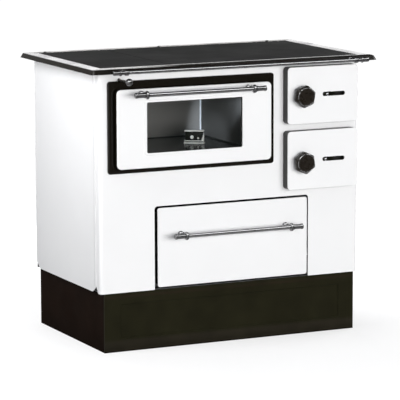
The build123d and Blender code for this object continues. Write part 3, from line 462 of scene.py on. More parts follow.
def window_glass():
    """Clear pane that tints what is behind it a little."""
    material, tree, shader = blank("Oven glass", Alpha=0.10, IOR=1.45,
                                   Base_Color=(0.02, 0.025, 0.024, 1))
    hazed(tree, shader, 9.0, 0.02, 0.05)
    return material


def oven_lining(colour):
    """Smooth grey oven enamel, darker and glossier on the floor of the oven."""
    material, tree, shader = blank("Oven enamel", IOR=ENAMEL_IOR)
    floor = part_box("oven_liner")[0].z
    rise = map_range(tree, floor + 3 * MM, floor + 6 * MM)
    haze = placed(tree, "haze", Scale=5.0, Low=0.30, High=0.38)
    ripple = placed(tree, "ripple", Ripple=12.0)
    gloss = map_range(tree, 0.0, 1.0, low=0.2)
    tinted(tree, shader, rise.outputs["Result"], shade(colour, 0.10), colour)
    bumped(tree, shader, ripple.outputs["Height"], 0.08, CAST_DEPTH)
    join(tree,
         (axes(tree)["Z"], rise.inputs["Value"]),
         (rise.outputs["Result"], gloss.inputs["Value"]),
         (haze.outputs["Roughness"], gloss.inputs["To Max"]),
         (gloss.outputs["Result"], shader.inputs["Roughness"]))
    return material


def braided_cord():
    """Woven sealing cord."""
    material, tree, shader = blank("Sealing cord", Roughness=0.9)
    place = add_node(tree, "ShaderNodeTexCoord")
    cells = add_node(tree, "ShaderNodeTexVoronoi", {"Scale": 520.0}, feature="F1")
    tinted(tree, shader, cells.outputs["Distance"], (0.03, 0.03, 0.03), (0.10, 0.10, 0.095))
    bumped(tree, shader, cells.outputs["Distance"], 0.6, CAST_DEPTH)
    join(tree, (place.outputs["Object"], cells.inputs["Vector"]))
    return material


FINISHES = {}


def make_finishes(settings):
    """Every finish of the stove, by the record's material slot, and the variants of some slots."""
    face, side = settings.plinth_face, settings.plinth_side
    # bands up the plinth front: a lighter band low down as painted light, and a reddish painted reflection
    # near the top; the sides are painted darker towards the floor as shade
    face_painted_light = [(0.0, (0.012, 0.0105, 0.0065)), (0.16, (0.018, 0.0155, 0.0105)), (0.22, face),
                  (0.90, face), (0.93, (0.017, 0.0125, 0.0075)), (0.97, face)]
    side_painted_shade = [(0.0, shade(side, 0.7)), (0.3, side), (1.0, side)]
    FINISHES.update({
        "white_enamel": enamel("White enamel", settings.white, settings.white_gloss, coat=0.3),
        "black_enamel": enamel("Black enamel", settings.black, 0.16, coat=0.0),
        "plinth_face": satin_black("Plinth front enamel", face_painted_light, roughness=0.50, level=0.10),
        "plinth_side": satin_black("Plinth side enamel, painted shade", side_painted_shade, roughness=0.70, level=0.02),
        "dark_frame": casting("Cast door frame", settings.door_side, 0.45, relief=0.15),
        "cooking_plate": ground_metal(
            "Blackened cooking plate", settings.plate, GROUND, gloss=(0.5, 0.62), contrast=0.07,
            relief=0.12, patches=4.0, Metallic=0.0, Specular_IOR_Level=0.06),
        # the side strips take a lighter copy of the painted reflection patches than the front and rear strips
        "polished_strip": rolled_strip(
            "Polished strip, deep", ROLLED_DEEP, light=(0.98, 0.975, 0.98), dark=(0.77, 0.75, 0.79),
            gloss=(0.16, 0.28)),
        "strip_across": rolled_strip(
            "Polished strip, wide", ROLLED_ACROSS, light=(0.98, 0.97, 0.95), dark=(0.62, 0.61, 0.60),
            gloss=(0.18, 0.30)),
        "chrome": chrome_plate("Chrome plate", settings.chrome),
        # the chrome of the small turned fittings, darkened to 0.6: painted shade for the dark room they
        # mirror
        "chrome_painted_shade": chrome_plate("Chrome fittings, painted shade", shade(settings.chrome, 0.6)),
        "knob_black": moulded("Knob plastic", (0.0135, 0.0105, 0.0078), gloss=(0.22, 0.34)),
        "case_black": moulded("Thermometer case", (0.008, 0.008, 0.005), gloss=(0.12, 0.2)),
        # pale paint in place of the chrome of the thermometer's frame and dials: painted reflection
        "thermometer_painted_reflection": moulded("Thermometer frame, painted reflection", (0.80, 0.78, 0.72), gloss=(0.25, 0.35)),
        "slide_dark": ground_metal(
            "Blued slide", (0.075, 0.072, 0.055), BRUSHED, gloss=(0.3, 0.4), contrast=0.15, relief=0.1,
            Metallic=1.0),
        "glass": window_glass(),
        "plain_steel": ground_metal(
            "Zinc-plated sheet", (0.42, 0.42, 0.43), BRUSHED, gloss=(0.35, 0.5), contrast=0.10,
            relief=0.10, Metallic=1.0),
        "oven_enamel": oven_lining(settings.oven),
        "cast_iron": casting("Raw cast iron", (0.045, 0.043, 0.041), 0.62, relief=0.5, metallic=0.3),
        "firebrick": casting("Fired clay", (0.50, 0.40, 0.27), 0.9, relief=0.8),
        "gasket": braided_cord(),
        # a pale bluish copy of the oven enamel for the corner fold: painted highlight along the oven's rear
        # right corner
        "corner_fold_painted_highlight": enamel("Oven corner enamel, painted highlight", (0.80, 0.84, 0.88), 0.2, coat=0.2),
    })


FINISH_OF = {
    "plinth_front": "plinth_face", "plinth_sides": "plinth_side", "plinth_base": "plinth_side",
    "damper_bush": "black_enamel", "damper_rod": "slide_dark"}


def dress(piece, finish):
    """Give a piece one finish."""
    piece.data.materials.clear()
    piece.data.materials.append(FINISHES[finish])


# ---------------------------------------------------------------- piece helpers
def settle(bm, name, body, slot_name, replaced=(), finish=None, sharp=35):
    """Turn a bmesh into a finished piece that rides on a body; finish is a variant of the slot's."""
    bmesh.ops.remove_doubles(bm, verts=bm.verts, dist=1e-6)
    bmesh.ops.recalc_face_normals(bm, faces=bm.faces)
    mesh = bpy.data.meshes.new(name)
    bm.to_mesh(mesh)
    bm.free()
    for face in mesh.polygons:
        face.use_smooth = True
    mesh.set_sharp_from_angle(angle=math.radians(sharp))
    piece = bpy.data.objects.new(name, mesh)
    bpy.context.scene.collection.objects.link(piece)
    dress(piece, finish or slot_name)
    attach(piece, body)
    if replaced:
        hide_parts(*replaced)


def turned(bm, profile, axis, centre, steps):
    """Spin a profile of (distance along X or Y, radius) in mm round that axis through centre (m)."""
    along = Vector([float(letter == axis) for letter in "XYZ"])
    out = Vector((0, 0, 1))
    centre = Vector(centre)
    chain = [bm.verts.new(centre + along * (reach * MM) + out * (radius * MM)) for reach, radius in profile]
    edges = [bm.edges.new(pair) for pair in zip(chain, chain[1:])]
    bmesh.ops.spin(bm, geom=[*chain, *edges], cent=centre, axis=along, angle=math.tau,
                   steps=steps, use_merge=True, use_duplicate=False)


def sided(profile, side):
    """A turning profile for the left (-1) or right (1) end."""
    return [(reach * side, radius) for reach, radius in profile]


def round_bar(name, node, body, steps):
    """Straight chrome bar in a node's place; gives its centre."""
    low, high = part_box(node)
    centre = (low + high) / 2
    half = (high.x - low.x) / 2 / MM
    radius = (high.z - low.z) / 2 / MM
    bm = bmesh.new()
    turned(bm, [(-half, 0), (-half, radius), (half, radius), (half, 0)], "X", centre, steps)
    settle(bm, name, body, "chrome", [node])
    return centre


def bar_ends(name, node, body, centre, span, end, post, steps):
    """Both turned ends of a bar, each with the post that carries it, in chrome darkened as painted shade."""
    bm = bmesh.new()
    for side in (-1, 1):
        eye = centre + Vector((side * span / 2, 0, 0))
        turned(bm, sided(end, side), "X", eye, steps)
        turned(bm, post, "Y", eye, steps)
    settle(bm, name, body, "chrome", [node], finish="chrome_painted_shade")


def block(bm, low, high, edge, segments=2):
    """Rectangular block between two corners, with rounded edges."""
    low, high = Vector(low), Vector(high)
    place = Matrix.Translation((low + high) / 2) @ Matrix.Diagonal((*(high - low), 1))
    cube = bmesh.ops.create_cube(bm, size=1.0, matrix=place)["verts"]
    edges = {side for vert in cube for side in vert.link_edges}
    bmesh.ops.bevel(bm, geom=list(edges), offset=edge, segments=segments, profile=0.5,
                    affect="EDGES", material=-1)


def trimmed(bm, point, normal):
    """Cut off what lies beyond a plane and close the cut."""
    bmesh.ops.bisect_plane(bm, geom=[*bm.verts, *bm.edges, *bm.faces], dist=1e-7, plane_co=point,
                           plane_no=normal, clear_outer=True)
    rim = [edge for edge in bm.edges if edge.is_boundary]
    bmesh.ops.holes_fill(bm, edges=rim, sides=0)


def drawn(bm, loop, centre, depth, radius=None, factor=1.0):
    """Extrude a closed loop to a depth along Y, scaled or set to a radius; gives the new loop."""
    made = bmesh.ops.extrude_edge_only(bm, edges=loop)["geom"]
    for vert in (item for item in made if isinstance(item, bmesh.types.BMVert)):
        out = Vector((vert.co.x - centre.x, 0, vert.co.z - centre.z))
        out = out.normalized() * radius if radius else out * factor
        vert.co = Vector((centre.x, depth, centre.z)) + out
    return [item for item in made if isinstance(item, bmesh.types.BMEdge)]


def raised(bm, outline, height):
    """Upright prism over a level outline of points."""
    face = bm.faces.new([bm.verts.new(point) for point in outline])
    made = bmesh.ops.extrude_face_region(bm, geom=[face])["geom"]
    top = [item for item in made if isinstance(item, bmesh.types.BMVert)]
    bmesh.ops.translate(bm, verts=top, vec=(0, 0, height))


# ---------------------------------------------------------------- operators
class STOVE_OT_finishes(bpy.types.Operator):
    """Make every finish and give it to the stove's solid parts"""

    bl_idname = "stove.finishes"
    bl_label = "Finishes"

    def execute(self, context):
        make_finishes(context.scene.stove_finish)
        for node, piece in NODES.items():
            dress(piece, FINISH_OF.get(node, SLOT_OF[node]))
        return {"FINISHED"}


class STOVE_OT_bar_handles(bpy.types.Operator):
    """Tubes, eyes, caps and posts of the oven and drawer handles"""

    bl_idname = "stove.bar_handles"
    bl_label = "Bar handles"

    # profiles of (distance, radius) in mm: along the bar from the eye to the cap, and back to the door
    END = [(-5.0, 0), (-5.0, 8.3), (-4.1, 10.4), (-2.6, 11.9), (-0.8, 12.5), (0.8, 12.5), (2.6, 11.9),
           (4.1, 10.4), (5.0, 8.3), (5.2, 6.9), (7.2, 6.9), (7.4, 8.0), (8.2, 8.5), (9.4, 8.3),
           (9.9, 7.3), (31.2, 7.3), (31.8, 8.1), (33.0, 8.5), (36.0, 8.5), (37.8, 7.8), (38.7, 6.0),
           (39.0, 3.0), (39.0, 0)]
    POST = [(4.0, 0), (4.0, 4.4), (27.0, 4.4), (31.0, 5.0), (32.0, 7.4), (33.2, 8.4), (41.5, 8.5),
            (44.0, 8.5), (44.0, 0)]

    def execute(self, context):
        settings = context.scene.stove_fitting
        for prefix, body in (("oven", "oven_door"), ("drawer", "wood_drawer")):
            centre = round_bar(f"{prefix}_handle_bar", f"{prefix}_handle_tube", body,
                               settings.turning_steps)
            bar_ends(f"{prefix}_handle_ends", f"{prefix}_handle_fittings", body, centre,
                     settings.eye_span, self.END, self.POST, settings.turning_steps)
        return {"FINISHED"}


class STOVE_OT_towel_rail(bpy.types.Operator):
    """Rail in front of the cooking plates, with its posts, rings and ends"""

    bl_idname = "stove.towel_rail"
    bl_label = "Towel rail"

    # profile of (distance, radius) in mm: along the rail from the post's eye to the end
    END = [(-6.0, 0), (-6.0, 7.2), (-4.8, 8.4), (4.8, 8.4), (6.0, 7.2), (6.2, 6.0), (16.4, 6.0),
           (17.0, 7.8), (18.2, 8.8), (21.6, 8.8), (22.6, 7.8), (22.9, 6.8), (40.5, 6.8), (42.4, 5.8),
           (43.0, 3.5), (43.0, 0)]

    def execute(self, context):
        settings = context.scene.stove_fitting
        centre = round_bar("towel_rail_bar", "towel_rail", "stove", settings.turning_steps)
        reach = (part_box("towel_rail_fittings")[1].y - centre.y) / MM
        post = [(3.0, 0), (3.0, 3.9), (reach - 8, 3.9), (reach - 7, 5.4), (reach - 1.5, 5.8),
                (reach - 0.2, 5.8), (reach - 0.2, 0)]
        bar_ends("towel_rail_ends", "towel_rail_fittings", "stove", centre, settings.post_span,
                 self.END, post, settings.turning_steps)
        return {"FINISHED"}


class STOVE_OT_knobs(bpy.types.Operator):
    """Six-sided moulded knobs of the fire and ash doors"""

    bl_idname = "stove.knobs"
    bl_label = "Knobs"

    TURN = {"fire": -10.0, "ash": 7.0}
    SHOULDER = 19 * MM
    CORNER = 4 * MM
    BACK_TAPER = 0.94
    # profiles of (depth, radius) in mm: FACE, drawn for a face of FACE_RADIUS, and RING from the front
    # of the knob, NECK from its shoulder
    FACE_RADIUS = 28.0
    FACE = [(1.5, 28.7), (0.7, 28.4), (0.2, 27.7), (0.0, 26.9), (0.15, 26.1), (0.7, 25.3), (1.1, 24.4),
            (1.0, 16.0), (0.8, 8.0), (0.7, 1.0)]
    RING = [(1.4, 28.1), (0.7, 27.9), (0.15, 27.3), (0.0, 26.7), (0.15, 26.1), (0.7, 25.5), (1.4, 25.3),
            (1.4, 28.1)]
    NECK = [(-2.0, 0), (-2.0, 17.0), (0.6, 17.0), (1.4, 13.6), (11.0, 12.8), (12.6, 14.5), (13.4, 14.5),
            (13.4, 0)]

    def execute(self, context):
        settings = context.scene.stove_fitting
        for door, turn in self.TURN.items():
            node = f"{door}_knob"
            low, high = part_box(node)
            centre = (low + high) / 2
            hub = Vector((centre.x, low.y + self.SHOULDER, centre.z))
            bm = bmesh.new()
            self.grip(bm, centre, low.y, hub, turn, settings)
            turned(bm, self.NECK, "Y", hub, settings.turning_steps)
            settle(bm, f"{door}_turned_knob", f"{door}_latch", "knob_black", [node], sharp=30)
            # the ring round the knob's face belongs to the moulded plastic, but is dressed in chrome so its
            # rim shows a bright arc: painted highlight
            bm = bmesh.new()
            turned(bm, self.RING, "Y", (centre.x, low.y, centre.z), settings.turning_steps)
            settle(bm, f"{door}_knob_ring_highlight", f"{door}_latch", "knob_black", [node], finish="chrome")
        return {"FINISHED"}

    def grip(self, bm, centre, front, hub, turn, settings):
        """The six-sided grip, drawn from its shoulder to the round face at the front."""
        place = Matrix.Translation(hub) @ Matrix.Rotation(math.radians(90), 4, "X")
        place = place @ Matrix.Rotation(math.radians(turn), 4, "Z")
        bmesh.ops.create_circle(bm, cap_ends=True, segments=6, radius=settings.knob_corner, matrix=place)
        bmesh.ops.bevel(bm, geom=list(bm.verts), offset=self.CORNER, segments=7, profile=0.5,
                        affect="VERTICES", material=-1)
        loop = list(bm.edges)
        for vert in bm.verts:
            vert.co = centre + (vert.co - centre) * Vector((self.BACK_TAPER, 1, self.BACK_TAPER))
            vert.co.y = hub.y
        sides = ((hub.y - 1.0 * MM, 1 / self.BACK_TAPER), (front + 7.0 * MM, 1.0), (front + 5.6 * MM, 0.98))
        for depth, factor in sides:
            loop = drawn(bm, loop, centre, depth, factor=factor)
        for depth, radius in self.FACE:
            loop = drawn(bm, loop, centre, front + depth * MM,
                         radius=settings.knob_face * radius / self.FACE_RADIUS)
        bmesh.ops.contextual_create(bm, geom=loop)


class STOVE_OT_air_slides(bpy.types.Operator):
    """Blued slide plates behind the door slots, each with a domed chrome pin"""

    bl_idname = "stove.air_slides"
    bl_label = "Air slides"

    PLATE = 2 * MM
    PLATE_OVERLAP = 18 * MM
    PIN_INSET = 12 * MM
    PIN_DROP = 1 * MM
    # profile of (distance, radius) in mm: from the top of the dome back to the plate
    PIN = [(0, 0), (0.2, 1.8), (0.8, 3.2), (1.9, 4.2), (2.9, 4.6), (3.4, 4.4), (3.6, 3.5), (12.5, 3.5),
           (12.5, 0)]

    def execute(self, context):
        for door in ("fire", "ash"):
            node = f"{door}_air_slide"
            low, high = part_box(node)
            pin = Vector((high.x - self.PIN_INSET, low.y, (low.z + high.z) / 2 - self.PIN_DROP))
            bm = bmesh.new()
            block(bm, (low.x, high.y - self.PLATE, low.z), (high.x + self.PLATE_OVERLAP, high.y, high.z),
                  0.4 * MM)
            settle(bm, f"{door}_air_plate", f"{door}_air", "chrome", [node], finish="slide_dark")
            bm = bmesh.new()
            turned(bm, self.PIN, "Y", pin, 32)
            settle(bm, f"{door}_air_pin", f"{door}_air", "chrome", [node])
        return {"FINISHED"}


class STOVE_OT_damper_pull(bpy.types.Operator):
    """Chrome ball with its collar on the damper rod"""

    bl_idname = "stove.damper_pull"
    bl_label = "Damper pull"

    # profile of (distance, radius) in mm: behind the ball, from its centre
    COLLAR = [(10.4, 5.0), (15.0, 5.0), (15.8, 4.2), (15.8, 0)]

    def execute(self, context):
        low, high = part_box("damper_ball")
        centre = (low + high) / 2
        radius = (high.x - low.x) / 2 / MM
        arc = [math.radians(angle) for angle in range(-90, 61, 10)]
        ball = [(radius * math.sin(angle), radius * math.cos(angle)) for angle in arc]
        bm = bmesh.new()
        turned(bm, ball + self.COLLAR, "Y", centre, context.scene.stove_fitting.turning_steps)
        # the ball and its collar take the darkened chrome: painted shade
        settle(bm, "damper_pull_ball", "damper", "chrome", ["damper_ball"], finish="chrome_painted_shade")
        return {"FINISHED"}


class STOVE_OT_thermometer(bpy.types.Operator):
    """Small thermometer box that stands in the oven; its chrome frame and dials are painted pale as painted
    reflection
    """

    bl_idname = "stove.thermometer"
    bl_label = "Oven thermometer"

    ANGLE = -30.0
    # name: finish, both corners and edge radius, in mm about the middle of the foot
    BLOCKS = {
        "case": ("case_black", ((-28, -7.5, 4), (28, 7.5, 36)), 1.2),
        "hood": ("thermometer_painted_reflection", ((-30, -9, 36.5), (30, 9, 40)), 0.8),
        "foot": ("thermometer_painted_reflection", ((-32, -13, 0), (32, 13, 2.4)), 0.6),
        "ledge": ("thermometer_painted_reflection", ((-30, -11.5, 6.4), (30, 9, 8.6)), 0.6),
        "cheek": ("thermometer_painted_reflection", ((22, -9.5, 8.0), (30, 9, 31)), 0.6),
    }
    CHEEK_POINT = Vector((22, 0, 8.0))
    CHEEK_NORMAL = Vector((-23, 0, 7))
    # both dials: place across and up, and radius, in mm
    DIALS = ((-7, 19, 5.2), (12, 16, 2.8))
    DIAL_FRONT = -7.2

    def execute(self, context):
        low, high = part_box("oven_thermometer")
        foot = Vector(((low.x + high.x) / 2, (low.y + high.y) / 2, low.z))
        for name, (finish, corners, edge) in self.BLOCKS.items():
            near, far = (foot + Vector(corner) * MM for corner in corners)
            bm = bmesh.new()
            block(bm, near, far, edge * MM)
            if name == "cheek":
                trimmed(bm, foot + self.CHEEK_POINT * MM, self.CHEEK_NORMAL)
            self.place(bm, foot, name, finish)
        bm = bmesh.new()
        for x, z, size in self.DIALS:
            profile = [(0, 0), (0, size), (-1.6, size * 1.04), (-2.4, size * 0.9), (-2.0, size * 0.75),
                       (-1.4, size * 0.6), (-2.6, size * 0.3), (-2.9, 0)]
            turned(bm, profile, "Y", foot + Vector((x, self.DIAL_FRONT, z)) * MM, 32)
        self.place(bm, foot, "dial", "thermometer_painted_reflection")
        return {"FINISHED"}

    def place(self, bm, foot, name, finish):
        """Turn what was made square to its place in the oven, and finish it."""
        bmesh.ops.rotate(bm, verts=bm.verts, cent=foot,
                         matrix=Matrix.Rotation(math.radians(self.ANGLE), 3, "Z"))
        settle(bm, f"thermometer_{name}", "stove", "chrome", ["oven_thermometer"], finish=finish)


class STOVE_OT_top_strips(bpy.types.Operator):
    """Four mitred steel strips round the cooking plates"""

    bl_idname = "stove.top_strips"
    bl_label = "Top strips"

    EDGE = 0.6 * MM
    CORNER = 11 * MM
    MITRE_GAP = 0.15 * MM

    def execute(self, context):
        width = context.scene.stove_fitting.strip_width
        low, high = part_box("top_strip")
        # both corners of each strip, and the sides (x, y) of the frame's corners at its ends
        strips = {
            "front": ((low.x, low.y), (high.x, low.y + width), ((-1, -1), (1, -1))),
            "rear": ((low.x, high.y - width), (high.x, high.y), ((-1, 1), (1, 1))),
            "left": ((low.x, low.y), (low.x + width, high.y), ((-1, -1), (-1, 1))),
            "right": ((high.x - width, low.y), (high.x, high.y), ((1, -1), (1, 1))),
        }
        for name, (near, far, ends) in strips.items():
            bm = bmesh.new()
            block(bm, (*near, low.z), (*far, high.z), self.EDGE)
            across = name in ("front", "rear")
            for x_side, y_side in ends:
                corner = Vector((high.x if x_side > 0 else low.x, high.y if y_side > 0 else low.y, low.z))
                self.mitred(bm, corner, x_side, y_side, across)
            settle(bm, f"top_strip_{name}", "stove", "polished_strip", ["top_strip"],
                   finish="strip_across" if across else None)
        return {"FINISHED"}

    def mitred(self, bm, corner, x_side, y_side, across):
        """Mitre and round one end of a strip where it meets a corner of the frame."""
        mitre = Vector((x_side, -y_side, 0)) if across else Vector((-x_side, y_side, 0))
        trimmed(bm, corner - mitre.normalized() * self.MITRE_GAP, mitre)
        hub = corner - Vector((x_side, y_side, 0)) * self.CORNER
        for angle in (15, 30, 45, 60, 75):
            turn = math.radians(angle)
            out = Vector((x_side * math.cos(turn), y_side * math.sin(turn), 0))
            trimmed(bm, hub + out * self.CORNER, out)


class STOVE_OT_trim(bpy.types.Operator):
    """Seam folds on the sides, the oven's corner fold, screws and rear beads"""

    bl_idname = "stove.trim"
    bl_label = "Trim and screws"

    SHEET = 2 * MM
    # section of a side fold, as (out, back) in mm from the panel's front edge
    FOLD = [(0, 0.2), (1.8, 0.2), (2.0, 0.6), (2.0, 1.8), (0, 16)]
    FOLD_FOOT = 20 * MM
    OVEN_RADIUS = 3.5 * MM
    # profile of (distance, radius) in mm: a raised screw head with its recess
    HEAD = [(0, 0), (0, 3.6), (1.0, 3.6), (1.9, 2.592), (2.1, 1.08), (1.3, 1.008), (1.3, 0)]
    HEAD_STEPS = 16
    SCREW_INSET = 14 * MM
    SCREW_GAPS = 5
    COLLAR_SCREWS = 69.5 * MM
    BEAD_INSET = 60 * MM
    BEAD_HALF = 9 * MM

    def execute(self, context):
        self.side_folds()
        self.oven_corner()
        self.rear_screws()
        self.rear_beads()
        return {"FINISHED"}

    def side_folds(self):
        """Folded front edge of each side panel, a little proud of the front panel's return."""
        for name, side in (("left", -1), ("right", 1)):
            low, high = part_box(f"{name}_side_panel")
            face = low.x if side < 0 else high.x
            start = low.z + self.FOLD_FOOT
            outline = [(face + side * out * MM, low.y + back * MM, start) for out, back in self.FOLD]
            bm = bmesh.new()
            raised(bm, outline, high.z - start - 0.5 * MM)
            settle(bm, f"{name}_side_fold", "stove", "white_enamel")

    def oven_corner(self):
        """Rounded fold in the rear right corner of the oven, in a pale copy of the oven enamel that paints a
        highlight, and a black strip along its floor that paints the shadow in the joint.
        """
        low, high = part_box("oven_liner")
        corner = Vector((high.x - self.SHEET, high.y - self.SHEET, low.z + self.SHEET))
        radius = self.OVEN_RADIUS
        hub = corner - Vector((radius, radius, 0))
        arc = [math.radians(angle) for angle in range(75, 0, -15)]
        outline = [corner, corner - Vector((radius, 0, 0))]
        outline += [hub + Vector((math.cos(turn), math.sin(turn), 0)) * radius for turn in arc]
        outline.append(corner - Vector((0, radius, 0)))
        bm = bmesh.new()
        raised(bm, outline, high.z - low.z - 2 * self.SHEET)
        # the fold takes the pale copy of the oven enamel: painted highlight
        settle(bm, "oven_corner_fold", "stove", "oven_enamel", finish="corner_fold_painted_highlight", sharp=50)
        # a black strip along the foot of the right wall: painted shadow in the joint between the wall and the
        # floor
        bm = bmesh.new()
        block(bm, (corner.x - 7 * MM, low.y + self.SHEET, corner.z),
              (corner.x, corner.y, corner.z + 4 * MM), 0.8 * MM)
        settle(bm, "oven_floor_painted_shadow", "stove", "oven_enamel", finish="case_black")

    def rear_screws(self):
        """Pan-head screws round the rear panel and the flue collar."""
        low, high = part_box("rear_panel")
        left, right = low.x + self.SCREW_INSET, high.x - self.SCREW_INSET
        columns = [left + step / self.SCREW_GAPS * (right - left) for step in range(self.SCREW_GAPS + 1)]
        places = [(x, high.y, z) for x in columns
                  for z in (low.z + self.SCREW_INSET, high.z - self.SCREW_INSET)]
        places += [(x, high.y, low.z + (high.z - low.z) * share)
                   for x in (left, right) for share in (0.33, 0.67)]
        collar_low, collar_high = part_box("flue_spigot")
        hub = (collar_low + collar_high) / 2
        for angle in (45, 135, 225, 315):
            turn = math.radians(angle)
            places.append((hub.x + self.COLLAR_SCREWS * math.cos(turn), high.y + self.SHEET,
                           hub.z + self.COLLAR_SCREWS * math.sin(turn)))
        bm = bmesh.new()
        for place in places:
            turned(bm, self.HEAD, "Y", place, self.HEAD_STEPS)
        settle(bm, "rear_screw_heads", "stove", "plain_steel", sharp=40)

    def rear_beads(self):
        """Two pressed stiffening beads across the rear panel."""
        low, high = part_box("rear_panel")
        for number, share in ((1, 0.25), (2, 0.55)):
            level = low.z + (high.z - low.z) * share
            bm = bmesh.new()
            block(bm, (low.x + self.BEAD_INSET, high.y - 1.5 * MM, level - self.BEAD_HALF),
                  (high.x - self.BEAD_INSET, high.y + 3 * MM, level + self.BEAD_HALF), 2.9 * MM,
                  segments=4)
            settle(bm, f"rear_bead_{number}", "stove", "plain_steel", sharp=60)


class STOVE_OT_stage(bpy.types.Operator):
    """Floor, room light, lamps and camera"""

    bl_idname = "stove.stage"
    bl_label = "Stage"

    FLOOR_HALF = 30.0
    WHITE = (1.0, 1.0, 1.0)
    KEY_LAMP = ((0.3, -4.6, 1.0), (0.05, -0.2, 0.45), (4.2, 1.5))
    KEY_COLOUR = (1.0, 0.996, 0.985)
    # name: place, target and size in metres, and share of the fill setting
    FILL_LAMPS = {
        "Side lamp": ((-1.3, -0.2, 1.16), (-0.43, -0.05, 0.62), (0.6, 0.9), 0.66),
        "Right lamp": ((1.6, 0.45, 0.55), (0.43, 0.05, 0.45), (0.8, 0.5), 0.6),
        "Rear lamp": ((0.1, 2.0, 0.55), (0.0, 0.27, 0.45), (1.6, 0.5), 1.4),
    }
    # name: place and target in metres, cone in degrees, share of the glow setting, and squeeze across
    OVEN_LAMPS = {
        "Oven glow": ((0.077, -0.228, 0.74), (0.081, 0.154, 0.585), 38, 1.0, 0.4),
        "Oven fill": ((-0.20, -0.19, 0.76), (0.03, 0.02, 0.585), 34, 0.32, 1.0),
    }
    OVEN_COLOUR = (0.82, 0.90, 1.0)
    ROOM_COLOUR = (0.90, 0.935, 1.0)
    # how bright the room is that metal mirrors, as (height, level), from straight down (0) to up (1)
    AHEAD = ((0.0, 0.006), (0.58, 0.008), (0.60, 0.04), (0.77, 0.03), (0.79, 1.0), (0.835, 1.0),
             (0.85, 0.012), (1.0, 0.006))
    BESIDE = ((0.0, 0.02), (0.42, 0.09), (0.66, 0.09), (0.74, 0.62), (0.96, 0.62), (1.0, 0.02))
    BEHIND = ((0.0, 0.20), (0.60, 0.20), (0.645, 0.02), (1.0, 0.01))
    MIRROR_STRENGTH = 5.0
    # the camera's place in metres, and its yaw, pitch and roll in degrees
    EYE = (-3.5051, -7.3866, 1.7112)
    TURN = (25.431, 9.130, -0.178)

    def execute(self, context):
        settings = context.scene.stove_light
        scene = context.scene
        scene.view_settings.view_transform = "Standard"
        self.floor(scene)
        self.room(scene, settings.ambient)
        self.area_lamp("Key lamp", *self.KEY_LAMP, settings.key, self.KEY_COLOUR)
        for name, (place, target, size, share) in self.FILL_LAMPS.items():
            self.area_lamp(name, place, target, size, settings.fill * share, self.WHITE)
        for name, (place, target, cone, share, squeeze) in self.OVEN_LAMPS.items():
            self.oven_lamp(name, place, target, cone, settings.glow * share, squeeze)
        self.camera(scene, settings.lens)
        return {"FINISHED"}

    def floor(self, scene):
        """Pale floor that keeps the stove's shadow."""
        bm = bmesh.new()
        bmesh.ops.create_grid(bm, x_segments=1, y_segments=1, size=self.FLOOR_HALF)
        mesh = bpy.data.meshes.new("Studio floor")
        bm.to_mesh(mesh)
        bm.free()
        floor = bpy.data.objects.new("studio_floor", mesh)
        scene.collection.objects.link(floor)
        mesh.materials.append(self.floor_finish())

    def floor_finish(self):
        """Matt, and white to the camera; metal mirrors it dim, but brighter near the stove and front left."""
        material = bpy.data.materials.new("Studio floor")
        tree = emptied(material)
        place = add_node(tree, "ShaderNodeTexCoord")
        point = axes(tree)
        matt = add_node(tree, "ShaderNodeBsdfDiffuse", {"Color": (0.45, 0.45, 0.45, 1)})
        pale = add_node(tree, "ShaderNodeBsdfDiffuse", {"Color": (0.34, 0.34, 0.345, 1)})
        lift = add_node(tree, "ShaderNodeEmission")
        mirrored = add_node(tree, "ShaderNodeEmission")
        away = add_node(tree, "ShaderNodeVectorMath", operation="LENGTH")
        brighter = map_range(tree, 0.5, 2.2, 0.68, 1.0)
        left = map_range(tree, -1.4, -2.4, high=0.5)
        ahead = map_range(tree, -0.2, -0.8)
        near = map_range(tree, -2.4, -1.7, 0.04, 0.27)
        corner = add_node(tree, "ShaderNodeMath", operation="MULTIPLY")
        shine = add_node(tree, "ShaderNodeMath", operation="MAXIMUM")
        both = add_node(tree, "ShaderNodeAddShader")
        join(tree,
             (place.outputs["Object"], away.inputs[0]),
             (away.outputs["Value"], brighter.inputs["Value"]),
             (point["X"], left.inputs["Value"]),
             (point["Y"], ahead.inputs["Value"]),
             (point["Y"], near.inputs["Value"]),
             (left.outputs["Result"], corner.inputs[0]),
             (ahead.outputs["Result"], corner.inputs[1]),
             (corner.outputs["Value"], shine.inputs[0]),
             (near.outputs["Result"], shine.inputs[1]),
             (brighter.outputs["Result"], lift.inputs["Strength"]),
             (shine.outputs["Value"], mirrored.inputs["Strength"]),
             (pale.outputs["BSDF"], both.inputs[0]),
             (lift.outputs["Emission"], both.inputs[1]))
        self.by_ray(tree, "ShaderNodeOutputMaterial", matt.outputs["BSDF"],
                    mirrored.outputs["Emission"], both.outputs["Shader"])
        return material

    def by_ray(self, tree, output, lit, mirrored, seen):
        """Join what lights, what metal mirrors and what the camera sees to the tree's output."""
        leave = add_node(tree, output)
        rays = add_node(tree, "ShaderNodeLightPath")
        glossy = add_node(tree, "ShaderNodeMixShader")
        camera = add_node(tree, "ShaderNodeMixShader")
        join(tree,
             (rays.outputs["Is Glossy Ray"], glossy.inputs["Fac"]),
             (lit, glossy.inputs[1]),
             (mirrored, glossy.inputs[2]),
             (rays.outputs["Is Camera Ray"], camera.inputs["Fac"]),
             (glossy.outputs["Shader"], camera.inputs[1]),
             (seen, camera.inputs[2]),
             (camera.outputs["Shader"], leave.inputs["Surface"]))

